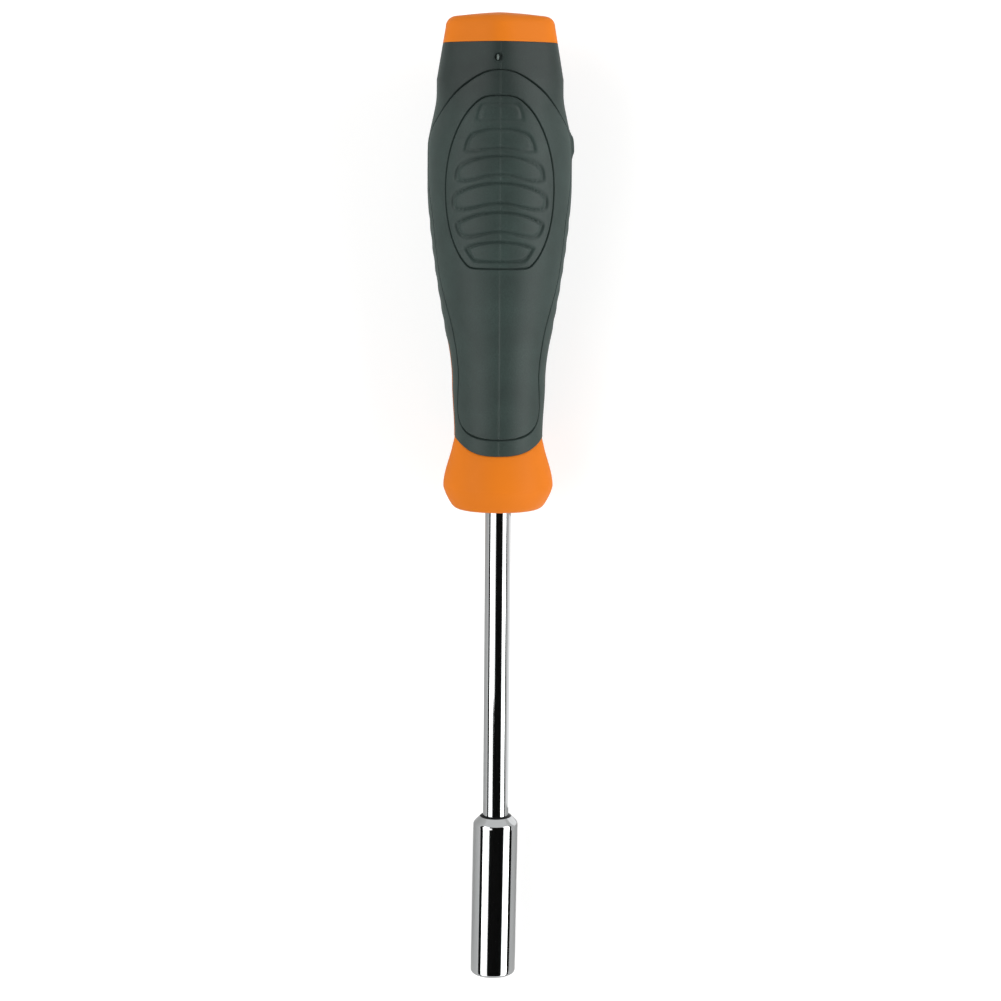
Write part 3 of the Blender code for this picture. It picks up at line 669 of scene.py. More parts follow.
def make_piece(name, points, quads, material, node):
    """Mesh object of a surface, with its seams and poles merged, that stands for a node of the model."""
    mesh = bpy.data.meshes.new(name)
    mesh.from_pydata(points.reshape(-1, 3), [], quads.tolist())
    shape = bmesh.new()
    shape.from_mesh(mesh)
    bmesh.ops.remove_doubles(shape, verts=shape.verts, dist=MERGE_DISTANCE)
    shape.to_mesh(mesh)
    shape.free()
    mesh.shade_smooth()
    mesh.set_sharp_from_angle(angle=SHARP_ANGLE)
    mesh.materials.append(material)
    piece = bpy.data.objects.new(name, mesh)
    bpy.context.collection.objects.link(piece)
    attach(piece, "root")
    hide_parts(node)
    return piece


def steel_step(distance):
    """Step of the steel to the right, t - (d - n) tan a - (d - h) tan b.

    It leans from the nose on, and more from the top of the holder on."""
    handle = bpy.context.scene.screwdriver_handle
    steel = bpy.context.scene.screwdriver_steel
    past_nose = distance - handle.length
    past_top = np.maximum(distance - steel.holder_top, 0.0)
    leaned = math.tan(steel.shaft_lean) * past_nose + math.tan(steel.holder_lean) * past_top
    return steel.shaft_step - leaned


def turned_piece(name, profile, columns, material, node, closed=False, step=np.zeros_like):
    """Surface turned round the axis: a profile row gives distance and radius for every angle.

    The axis is moved to the right by a step for every distance."""
    angle = np.linspace(-math.pi, math.pi, columns, endpoint=False)
    rows = [np.broadcast_arrays(distance, radius, angle) for distance, radius in profile(angle)]
    if closed:
        rows.append(rows[0])
    distance, radius, angles = np.stack(rows, axis=1)
    points = on_bench(distance, angles, radius) + step(distance)[..., None] * RIGHT
    return make_piece(name, points, grid_quads(len(rows), columns, True), material, node)


def add(tree, kind, inputs=(), **settings):
    """Adds one shader node, with its settings and with its inputs set or linked."""
    made = tree.nodes.new(kind)
    for name, value in settings.items():
        setattr(made, name, value)
    for socket, value in dict(inputs).items():
        if isinstance(value, bpy.types.NodeSocket):
            tree.links.new(value, made.inputs[socket])
        else:
            made.inputs[socket].default_value = value
    return made


def new_material(name):
    """Empty node material, or the one of that name if it is made already, with whether it is new."""
    if name in bpy.data.materials:
        return bpy.data.materials[name], False
    material = bpy.data.materials.new(name)
    material.use_nodes = True
    material.node_tree.nodes.clear()
    return material, True


def scale_for(millimetres):
    """Texture scale at which one feature is so many millimetres wide, on coordinates in metres."""
    return 1 / (millimetres * MM)


def mottled(colour_value, factor):
    """A colour made lighter or darker by a factor, kept opaque."""
    return (*(min(1.0, channel * factor) for channel in colour_value[:3]), 1.0)


def moulded_orange():
    """Polypropylene, satin moulded: an even warm orange with soft wide highlights and faint tool marks."""
    material, new = new_material("polypropylene_satin_moulded")
    if new:
        base = bpy.context.scene.screwdriver_colours.orange
        tree = material.node_tree
        place = add(tree, "ShaderNodeTexCoord").outputs["Object"]
        # Flow of the melt: cloudy patches about 9 mm wide, a shade lighter and darker
        cloud = add(tree, "ShaderNodeTexNoise", {"Vector": place, "Scale": scale_for(9.0), "Detail": 2.0})
        tint = add(tree, "ShaderNodeMix", {
            "Factor": cloud.outputs["Fac"], "A": mottled(base, 0.965), "B": mottled(base, 1.035),
        }, data_type="RGBA")
        # Spark-eroded mould skin: real grit is about 0.05 mm, drawn at 0.3 mm so that it shows
        grit = add(tree, "ShaderNodeTexNoise", {"Vector": place, "Scale": scale_for(0.3), "Detail": 3.0})
        gloss = add(tree, "ShaderNodeMapRange", {
            "Value": grit.outputs["Fac"], "To Min": 0.42, "To Max": 0.58,
        })
        bump = add(tree, "ShaderNodeBump", {
            "Height": grit.outputs["Fac"], "Strength": 0.05, "Distance": 0.05 * MM,
        })
        shader = add(tree, "ShaderNodeBsdfPrincipled", {
            "Base Color": tint.outputs["Result"], "Roughness": gloss.outputs["Result"],
            "Normal": bump.outputs["Normal"], "IOR": 1.49, "Specular IOR Level": 0.1,
        })
        add(tree, "ShaderNodeOutputMaterial", {"Surface": shader.outputs["BSDF"]})
    return material


def moulded_soft_grip():
    """Thermoplastic rubber, matt moulded: dark slate green that greys over where it turns to the light, with
    painted shade that darkens it towards the butt.
    """
    material, new = new_material("thermoplastic_rubber_matt_moulded")
    if new:
        colours = bpy.context.scene.screwdriver_colours
        tree = material.node_tree
        place = add(tree, "ShaderNodeTexCoord").outputs["Object"]
        # Handling and flow: patches about 7 mm wide, slightly greyer or deeper
        cloud = add(tree, "ShaderNodeTexNoise", {"Vector": place, "Scale": scale_for(7.0), "Detail": 3.0})
        # Fine matt mould skin: real grit is about 0.08 mm, drawn at 0.35 mm so that it shows
        grit = add(tree, "ShaderNodeTexNoise", {"Vector": place, "Scale": scale_for(0.35), "Detail": 4.0})
        shade = add(tree, "ShaderNodeMath", {
            0: cloud.outputs["Fac"], 1: grit.outputs["Fac"],
        }, operation="MULTIPLY")
        tint = add(tree, "ShaderNodeMix", {
            "Factor": shade.outputs["Value"],
            "A": mottled(colours.slate, 0.65), "B": mottled(colours.slate, 2.0),
        }, data_type="RGBA")
        # Painted shade: the colour goes darker towards the butt, to about 20 mm from it, where less light
        # falls on the grip
        split = add(tree, "ShaderNodeSeparateXYZ", {"Vector": place})
        painted_butt_shade = add(tree, "ShaderNodeMapRange", {
            "Value": split.outputs["Y"], "From Min": 86 * MM, "From Max": 98 * MM, "To Max": 0.4,
        }, interpolation_type="SMOOTHSTEP")
        tint = add(tree, "ShaderNodeMix", {
            "Factor": painted_butt_shade.outputs["Result"], "A": tint.outputs["Result"], "B": BLACK,
        }, data_type="RGBA")
        gloss = add(tree, "ShaderNodeMapRange", {
            "Value": grit.outputs["Fac"], "To Min": 0.48, "To Max": 0.62,
        })
        bump = add(tree, "ShaderNodeBump", {
            "Height": grit.outputs["Fac"], "Strength": 0.3, "Distance": 0.05 * MM,
        })
        shader = add(tree, "ShaderNodeBsdfPrincipled", {
            "Base Color": tint.outputs["Result"], "Roughness": gloss.outputs["Result"],
            "Normal": bump.outputs["Normal"], "IOR": 1.5, "Specular IOR Level": 0.4,
            "Sheen Weight": 0.27, "Sheen Roughness": 0.4, "Sheen Tint": tuple(colours.bloom),
        })
        add(tree, "ShaderNodeOutputMaterial", {"Surface": shader.outputs["BSDF"]})
    return material


def bright_chrome():
    """Chrome plate on ground steel: a cold mirror, with the faint polish lines that run round the bar."""
    material, new = new_material("chrome_plate_polished")
    if new:
        base = bpy.context.scene.screwdriver_colours.chrome
        tree = material.node_tree
        place = add(tree, "ShaderNodeTexCoord").outputs["Object"]
        # Polish lines round the bar: about 0.25 mm apart along the axis, long across it
        stretch = add(tree, "ShaderNodeMapping", {"Vector": place, "Scale": (0.06, 1.0, 0.06)})
        lines = add(tree, "ShaderNodeTexNoise", {
            "Vector": stretch.outputs["Vector"], "Scale": scale_for(0.25), "Detail": 2.0,
        })
        gloss = add(tree, "ShaderNodeMapRange", {
            "Value": lines.outputs["Fac"], "To Min": 0.03, "To Max": 0.09,
        })
        bump = add(tree, "ShaderNodeBump", {
            "Height": lines.outputs["Fac"], "Strength": 0.015, "Distance": 0.02 * MM,
        })
        shader = add(tree, "ShaderNodeBsdfPrincipled", {
            "Base Color": tuple(base), "Metallic": 1.0, "Roughness": gloss.outputs["Result"],
            "Normal": bump.outputs["Normal"],
        })
        add(tree, "ShaderNodeOutputMaterial", {"Surface": shader.outputs["BSDF"]})
    return material


def plain_metal(name, base, smooth, rough, line):
    """Metal whose gloss wanders between two roughness values over lines of one width in millimetres."""
    material, new = new_material(name)
    if new:
        tree = material.node_tree
        place = add(tree, "ShaderNodeTexCoord").outputs["Object"]
        lines = add(tree, "ShaderNodeTexNoise", {"Vector": place, "Scale": scale_for(line), "Detail": 3.0})
        gloss = add(tree, "ShaderNodeMapRange", {
            "Value": lines.outputs["Fac"], "To Min": smooth, "To Max": rough,
        })
        shader = add(tree, "ShaderNodeBsdfPrincipled", {
            "Base Color": tuple(base), "Metallic": 1.0, "Roughness": gloss.outputs["Result"],
        })
        add(tree, "ShaderNodeOutputMaterial", {"Surface": shader.outputs["BSDF"]})
    return material


def plain_plastic(name, base, spread, patch, rough):
    """Plastic whose colour wanders by a share either way over patches of one width in millimetres."""
    material, new = new_material(name)
    if new:
        tree = material.node_tree
        place = add(tree, "ShaderNodeTexCoord").outputs["Object"]
        cloud = add(tree, "ShaderNodeTexNoise", {"Vector": place, "Scale": scale_for(patch), "Detail": 2.0})
        tint = add(tree, "ShaderNodeMix", {
            "Factor": cloud.outputs["Fac"], "A": mottled(base, 1 - spread), "B": mottled(base, 1 + spread),
        }, data_type="RGBA")
        shader = add(tree, "ShaderNodeBsdfPrincipled", {
            "Base Color": tint.outputs["Result"], "Roughness": rough,
        })
        add(tree, "ShaderNodeOutputMaterial", {"Surface": shader.outputs["BSDF"]})
    return material


def dress_node(name, material):
    """Gives a node of the model a new finish and leaves its shape alone."""
    node = frame["nodes"][name]
    node.data.materials.clear()
    node.data.materials.append(material)


# Columns round the cap and the nose
MOULDED_COLUMNS = 288

# Rows over the cap: its crown, its rounded edge, its side and the rounding under it
CROWN_ROWS = 25
CAP_EDGE_ROWS = 17
CAP_SIDE_ROWS = 12
JOINT_ROWS = 5
CROWN_POWER = 1.3

# Rows of the nose down to its end and across it, and rows and columns of a tongue
NOSE_ROWS = 70
NOSE_END_ROWS = 14
TONGUE_ROWS = 120
TONGUE_COLUMNS = 25

# In roundings of an edge: where the nose starts under the grip, how deep, and how far a tongue goes under it
NOSE_START = 5
NOSE_TUCK = 1.5
TONGUE_UNDER_SIDE = 2
TONGUE_UNDER_END = 4


class SCREWDRIVER_OT_butt_cap(bpy.types.Operator):
    """Make the crowned orange cap at the butt end"""

    bl_idname = "screwdriver.butt_cap"
    bl_label = "Butt cap"

    def execute(self, context):
        handle = context.scene.screwdriver_handle

        def profile(angle):
            """Crown, rounded edge, tapered side and a small rounding back under the cap."""
            flat = handle.butt_radius - handle.cap_edge
            crown = np.linspace(0.0, 1.0, CROWN_ROWS)
            rows = [(handle.cap_crown * share ** CROWN_POWER, flat * share) for share in crown]
            for sweep in np.linspace(0.0, math.pi / 2, CAP_EDGE_ROWS)[1:]:
                drop = handle.cap_edge * (1 - math.cos(sweep))
                rows.append((handle.cap_crown + drop, flat + handle.cap_edge * math.sin(sweep)))
            low = handle.cap_height - handle.joint_round
            start = handle.cap_crown + handle.cap_edge
            rows += [(place, outline(place)) for place in np.linspace(start, low, CAP_SIDE_ROWS)[1:]]
            for sweep in np.linspace(0.0, math.pi / 2, JOINT_ROWS)[1:]:
                inset = handle.joint_round * (1 - math.cos(sweep))
                rows.append((low + handle.joint_round * math.sin(sweep), outline(low) - inset))
            rows.append((handle.cap_height, outline(low) - handle.lip))
            return [(place, radius * facet(angle, place)) for place, radius in rows]

        orange = moulded_orange()
        turned_piece("orange_butt_cap", profile, MOULDED_COLUMNS, orange, "butt_cap")
        return {"FINISHED"}


class SCREWDRIVER_OT_nose(bpy.types.Operator):
    """Make the orange nose and the two side tongues of the handle's body"""

    bl_idname = "screwdriver.nose"
    bl_label = "Nose and tongues"

    def execute(self, context):
        handle = context.scene.screwdriver_handle
        steel = context.scene.screwdriver_steel
        orange = moulded_orange()

        def profile(angle):
            """Tucked under the grip's edge, over the bulge, round the end and in to the shaft."""
            start = grip_edge(angle) - NOSE_START * handle.edge_round
            rows = []
            for share in np.sin(np.linspace(0.0, math.pi / 2, NOSE_ROWS)):
                place = start + share * (handle.length - start)
                past = place - grip_edge(angle - turned_by(angle))
                tuck = 1 - eased((past + handle.edge_round) / (2 * handle.edge_round))
                sink = handle.nose_sink * (1 - eased(past / handle.nose_rise))
                rows.append((place, outline(place) - NOSE_TUCK * handle.edge_round * tuck - sink))
            for radius in np.linspace(handle.nose_end_radius, steel.shaft_radius, NOSE_END_ROWS)[1:]:
                rows.append((handle.length, radius))
            return rows

        turned_piece("orange_nose", profile, MOULDED_COLUMNS, orange, "handle_body")
        half = handle.tongue_width / 2 + TONGUE_UNDER_SIDE * handle.edge_round
        under = TONGUE_UNDER_END * handle.edge_round
        across, place = np.meshgrid(
            np.linspace(-half, half, TONGUE_COLUMNS),
            np.linspace(handle.tongue_top - under, handle.grip_edge_side + under, TONGUE_ROWS),
        )
        radius = outline(place) - handle.tongue_recess
        for side, label in ((1, "right"), (-1, "left")):
            angle = side * math.pi / 2 + handle.tongue_turn + np.arcsin(across / radius)
            points = on_bench(place, angle, radius)
            quads = grid_quads(*place.shape, False)
            make_piece("orange_tongue_" + label, points, quads, orange, "handle_body")
        return {"FINISHED"}


# Columns of half the grip, rows from a panel's pole to the oval and on to the loop, and rows of the skin
GRIP_COLUMNS = 300
PANEL_INNER_ROWS = 101
PANEL_OUTER_ROWS = 24
SKIN_ROWS = 35
LIP_ROWS = 6
STUB_ROWS = 13
STUB_COLUMNS = 32

# Pole of a panel, in its fourth pad
PANEL_POLE = 40.2 * MM

# Offsets from the floor of a groove to its edge and past it, in half-widths, and depths of a wall, in lips
GROOVE_OFFSETS = np.array([0, 0.2, 0.4, 0.6, 0.8, 1, 1.5])
WALL_DEPTHS = np.array([[0.5], [1.0]])


class SCREWDRIVER_OT_grip(bpy.types.Operator):
    """Make the soft grip: a grooved panel at the front and the rear, and the skin round them"""

    bl_idname = "screwdriver.grip"
    bl_label = "Soft grip"

    def execute(self, context):
        grip = context.scene.screwdriver_grip
        columns = half_columns(GRIP_COLUMNS)
        signs = side_signs(GRIP_COLUMNS)
        oval = oval_path(np.interp(columns, LOOP_SHARES, OVAL_SHARES))
        loop = loop_path(columns)
        material = moulded_soft_grip()
        self.panels(grip, oval, loop, signs, material)
        self.gate_stub(grip, context.scene.screwdriver_colours)
        self.skin(context.scene.screwdriver_handle, grip, loop, columns, signs, material)
        return {"FINISHED"}

    def panels(self, grip, oval, loop, signs, material):
        """Rows from the pole to the oval groove, across it, and on to the floor of the loop groove."""
        oval_offsets = grip.oval_groove_width / 2 * np.concatenate([-GROOVE_OFFSETS[:0:-1], GROOVE_OFFSETS])
        loop_offsets = grip.loop_groove_width / 2 * -GROOVE_OFFSETS[::-1]
        oval_angle, oval_place = offset_rows(*oval, oval_offsets)
        loop_angle, loop_place = offset_rows(*loop, loop_offsets)
        inner = np.linspace(0.0, 1.0, PANEL_INNER_ROWS)[:-1]
        outer = np.linspace(0.0, 1.0, PANEL_OUTER_ROWS)[1:-1]
        angle = np.concatenate([
            blend_rows(0.0, oval_angle[0], inner), oval_angle,
            blend_rows(oval_angle[-1], loop_angle[0], outer), loop_angle,
        ])
        place = np.concatenate([
            blend_rows(PANEL_POLE, oval_place[0], inner), oval_place,
            blend_rows(oval_place[-1], loop_place[0], outer), loop_place,
        ])
        relief = np.zeros_like(angle)
        oval_rows = slice(inner.size, inner.size + oval_offsets.size)
        relief[oval_rows] = groove_profile(
            oval_offsets, grip.oval_groove_width, grip.oval_groove_depth, oval,
        )
        relief[-loop_offsets.size:] = groove_profile(
            loop_offsets, grip.loop_groove_width, grip.loop_groove_depth, loop,
        )
        angle = both_sides(angle) * signs
        place = both_sides(place)
        relief = both_sides(relief)
        across = outline(place) * np.sin(angle)
        relief = relief + pad_relief(across, place) + seam_relief(across, place)
        radius = grip_surface(angle, place, relief)
        quads = grid_quads(*angle.shape, True, turned=True)
        for face, label in ((0.0, "front"), (math.pi, "rear")):
            points = on_bench(place, angle + face, radius)
            make_piece("grip_panel_" + label, points, quads, material, "soft_grip")

    def gate_stub(self, grip, colours):
        """Torn stub of the gate in its dimple: a dome h sqrt(1 - r^2) over an ellipse."""
        reach, sweep = np.meshgrid(
            np.linspace(0.0, 1.0, STUB_ROWS),
            np.linspace(-math.pi, math.pi, STUB_COLUMNS, endpoint=False),
            indexing="ij",
        )
        place = grip.gate + grip.stub_length / 2 * reach * np.cos(sweep)
        across = grip.stub_width / 2 * reach * np.sin(sweep) - grip.gate_left - grip.stub_step
        angle = np.arcsin(across / outline(place))
        dome = grip.gate_depth * (np.sqrt(1 - reach ** 2) - 1)
        points = on_bench(place, angle, grip_surface(angle, place, dome))
        quads = grid_quads(*reach.shape, True)
        # Thermoplastic rubber of the gate's stub: a paler grey that is a painted highlight for the stub's
        # glint, rough, in grains about 0.2 mm wide
        torn = plain_plastic("thermoplastic_rubber_painted_glint", colours.torn, 0.2, 0.2, 0.6)
        make_piece("grip_gate_stub", points, quads, torn, "soft_grip")

    def skin(self, handle, grip, loop, columns, signs, material):
        """Rows from the floor of the loop groove to the edges, where they turn in, at the front and rear."""
        loop_offsets = grip.loop_groove_width / 2 * GROOVE_OFFSETS
        loop_angle, loop_place = offset_rows(*loop, loop_offsets)
        edge_angle, edge_place = edge_path(columns)
        between = np.linspace(0.0, 1.0, SKIN_ROWS)[1:]
        angle = np.concatenate([loop_angle, blend_rows(loop_angle[-1], edge_angle, between)])
        place = np.concatenate([loop_place, blend_rows(loop_place[-1], edge_place, between)])
        relief = np.zeros_like(angle)
        relief[:loop_offsets.size] = groove_profile(
            loop_offsets, grip.loop_groove_width, grip.loop_groove_depth, loop,
        )

        # Rounded edge and the wall behind it, on every column but those of the side line
        across, along = outward_on_surface(edge_angle, edge_place)
        side_line = (columns >= EDGE_BREAKS[1]) & (columns <= EDGE_BREAKS[2])
        on_top = columns <= EDGE_BREAKS[1]
        rounding = np.where(on_top, handle.joint_round, handle.edge_round)
        sweep = np.linspace(0.0, math.pi / 2, LIP_ROWS)[1:, None]
        wall = WALL_DEPTHS * handle.lip
        step = rounding * np.concatenate([np.sin(sweep), np.ones_like(wall)])
        drop = np.concatenate([rounding * (1 - np.cos(sweep)), wall + np.zeros_like(rounding)])
        at_tongue_top = columns == EDGE_BREAKS[2]
        across = np.where(on_top | at_tongue_top, 0.0, across)
        along = np.where(on_top, -1.0, np.where(at_tongue_top, 1.0, along))
        across[-1] = 0.0
        lip_angle = edge_angle + step * across / outline(edge_place)
        lip_place = edge_place + step * along
        angle = np.concatenate([angle, lip_angle])
        place = np.concatenate([place, lip_place])
        relief = np.concatenate([relief, -drop])

        # Turn of the tongues, which comes in from the loop to the edge
        shares = np.concatenate([np.zeros(loop_offsets.size), between, np.ones(len(step))])
        turned = both_sides(shares[:, None] * turned_by(edge_angle))

        # Faces, without those of the rounded edge on the side line, where the front meets the rear
        rows, count = angle.shape[0], signs.size
        quads = grid_quads(rows, count, True, turned=True)
        cell = np.arange(rows - 1)[:, None] + np.zeros(count)
        on_line = both_sides(side_line)
        open_cell = np.broadcast_to(on_line & np.roll(on_line, -1), (rows - 1, count))
        kept = ~((cell >= rows - 1 - len(step)) & open_cell).reshape(-1)

        # Both halves with their relief, then the front and the rear, of which only the front has the gate
        angle = both_sides(angle) * signs + turned
        place = both_sides(place)
        relief = both_sides(relief)
        relief = relief + seam_relief(outline(place) * np.sin(angle), place)
        around = outline(place) * (np.abs(angle) - math.pi / 2)
        relief = relief + side_relief(around, place)
        points = []
        for face in (0.0, math.pi):
            own = relief + boss_relief(outline(place) * (angle * math.cos(face) - math.pi / 2), place)
            if face == 0.0:
                own = own + gate_relief(outline(place) * np.sin(angle), place)
            points.append(on_bench(place, angle + face, grip_surface(angle, place, own)))
        quads = np.concatenate([quads[kept], quads[kept] + rows * count])
        make_piece("grip_skin", np.stack(points), quads, material, "soft_grip")


# Rows and columns of the shaft, of the near-black cone of painted shade behind the holder, and of the holder
SHAFT_ROWS = 60
SHAFT_COLUMNS = 160
GAP_SHADE_COLUMNS = 96
HOLDER_COLUMNS = 192
HOLDER_SHOULDER_ROWS = 40
HOLDER_SIDE_ROWS = 40
HOLDER_MOUTH_ROWS = 13

# Near-black cone of painted shade in the gap behind the holder, in widths of that gap: how far it stands
# out, and how far behind the holder it starts at the shaft and at its edge
GAP_SHADE_OUT = 1.2
GAP_SHADE_RISE = 0.7
GAP_SHADE_EDGE = 0.1

# Slope of that gap, and where the rows of the shoulder end and those of the side start, in shoulders
GAP_SLOPE = 0.9
SHOULDER_ROWS_END = 2.5
SIDE_ROWS_START = 3


class SCREWDRIVER_OT_shaft(bpy.types.Operator):
    """Make the round chromed shaft between the nose and the bit holder, and the near-black cone of painted
    shade in the gap behind the holder
    """

    bl_idname = "screwdriver.shaft"
    bl_label = "Shaft"

    def execute(self, context):
        handle = context.scene.screwdriver_handle
        steel = context.scene.screwdriver_steel
        start = handle.neck
        end = steel.holder_top + steel.gap_depth + steel.countersink

        def profile(angle):
            """A straight bar, closed at both hidden ends."""
            rows = [(start, 0.0), (start, steel.shaft_radius)]
            rows += [(place, steel.shaft_radius) for place in np.linspace(start, end, SHAFT_ROWS)[1:]]
            return rows + [(end, 0.0)]

        def collar(angle):
            """Closed section: a small near-black cone that fills the gap behind the holder, painted shade
            where that gap lies in shadow.
            """
            top, sink = steel.holder_top, steel.countersink
            outer = steel.shaft_radius + GAP_SHADE_OUT * sink
            return [
                (top + sink, steel.shaft_radius), (top - GAP_SHADE_RISE * sink, steel.shaft_radius),
                (top - GAP_SHADE_EDGE * sink, outer), (top + sink, outer),
            ]

        turned_piece(
            "chromed_shaft", profile, SHAFT_COLUMNS, bright_chrome(), "shaft",
            step=steel_step,
        )
        # Painted shade in the gap behind the holder: nearly black metal, with patches about 0.3 mm wide
        black = plain_metal("painted_gap_shade_black", context.scene.screwdriver_colours.bare, 0.4, 0.55, 0.3)
        turned_piece(
            "painted_gap_shade_cone", collar, GAP_SHADE_COLUMNS, black, "shaft",
            closed=True, step=steel_step,
        )
        return {"FINISHED"}


class SCREWDRIVER_OT_bit_holder(bpy.types.Operator):
    """Make the chromed sleeve with its hex socket, and finish the magnet and the sprung ring in it"""

    bl_idname = "screwdriver.bit_holder"
    bl_label = "Bit holder"

    def execute(self, context):
        steel = context.scene.screwdriver_steel
        colours = context.scene.screwdriver_colours

        def profile(angle):
            """Closed section: gap, shoulder, outside, mouth, hex socket with its groove, pocket and bore.

            The shoulder is a 45 degree chamfer, blended into the outside by a hyperbola."""
            top, mouth = steel.holder_top, steel.tool_length
            sink, outside = steel.countersink, steel.holder_radius
            rows = [(top + steel.gap_depth, steel.bore_radius)]
            rows.append((top + sink, steel.bore_radius + GAP_SLOPE * sink))
            for place in np.linspace(0.0, SHOULDER_ROWS_END * steel.shoulder, HOLDER_SHOULDER_ROWS):
                inset = soft_greater(steel.shoulder - place, 0.0, steel.shoulder_round)
                rows.append((top + place, outside - inset))
            small = steel.edge_round
            side_start = top + SIDE_ROWS_START * steel.shoulder
            side = np.linspace(side_start, mouth - small, HOLDER_SIDE_ROWS)[:-1]
            rows += [(place, outside) for place in side]
            for sweep in np.linspace(math.pi / 2, 0.0, HOLDER_MOUTH_ROWS):
                back = small * (1 - math.cos(sweep))
                rows.append((mouth - back, outside - small * (1 - math.sin(sweep))))
            from_flat = (angle + math.pi / 6) % (math.pi / 3) - math.pi / 6
            hexagon = steel.hex_across_flats / 2 / np.cos(from_flat)
            groove = mouth - steel.ring_from_mouth
            half = steel.ring_groove / 2
            floor = mouth - steel.hex_depth
            rows += [(mouth, hexagon + steel.lead_in), (mouth - steel.lead_in, hexagon)]
            rows += [(groove + half, hexagon), (groove + half, steel.ring_groove_radius)]
            rows += [(groove - half, steel.ring_groove_radius), (groove - half, hexagon)]
            rows += [(floor, hexagon), (floor - sink, steel.pocket_radius)]
            pocket_end = floor - steel.pocket_depth
            return rows + [(pocket_end, steel.pocket_radius), (pocket_end, steel.bore_radius)]

        turned_piece(
            "chromed_bit_holder", profile, HOLDER_COLUMNS, bright_chrome(), "bit_holder",
            closed=True, step=steel_step,
        )
        # Nickel plate over a sintered disc: warm grey, satin, with patches about 0.4 mm wide
        dress_node("magnet", plain_metal("nickel_plate_barrelled", colours.nickel, 0.2, 0.34, 0.4))
        # Drawn spring wire: grey, with die lines about 0.15 mm wide
        dress_node("retaining_ring", plain_metal("spring_wire_drawn", colours.wire, 0.24, 0.4, 0.15))
        return {"FINISHED"}


class SCREWDRIVER_OT_inner_core(bpy.types.Operator):
    """Finish the hidden core that holds the tang"""

    bl_idname = "screwdriver.inner_core"
    bl_label = "Inner core"

    def execute(self, context):
        # Polypropylene, plain moulded: grey, with cloudy patches about 5 mm wide
        base = context.scene.screwdriver_colours.core
        dress_node("inner_core", plain_plastic("polypropylene_plain_moulded", base, 0.08, 5.0, 0.55))
        return {"FINISHED"}


# Half the floor's width, height of the cards over it, columns of the drape, strips of a soft box
FLOOR_HALF = 3.0
CARD_HEIGHT = 0.3 * MM
DRAPE_COLUMNS = 49
BOX_STRIPS = 3

# Sensor that the lens is given for, in millimetres, and nearest distance that the camera sees
SENSOR_WIDTH = 36.0
CLIP_START = 0.01

# Cards to the right of the steel: corners on the floor in millimetres, and radiance, where 1 renders white
CARDS = {
    "card_black_matt": (((95, -102), (95, -147), (1000, -472), (1000, -364)), 0.0),
    "card_white_lit": (((2, -3), (2, -73), (28, -77), (28, -5)), 1.15),
}


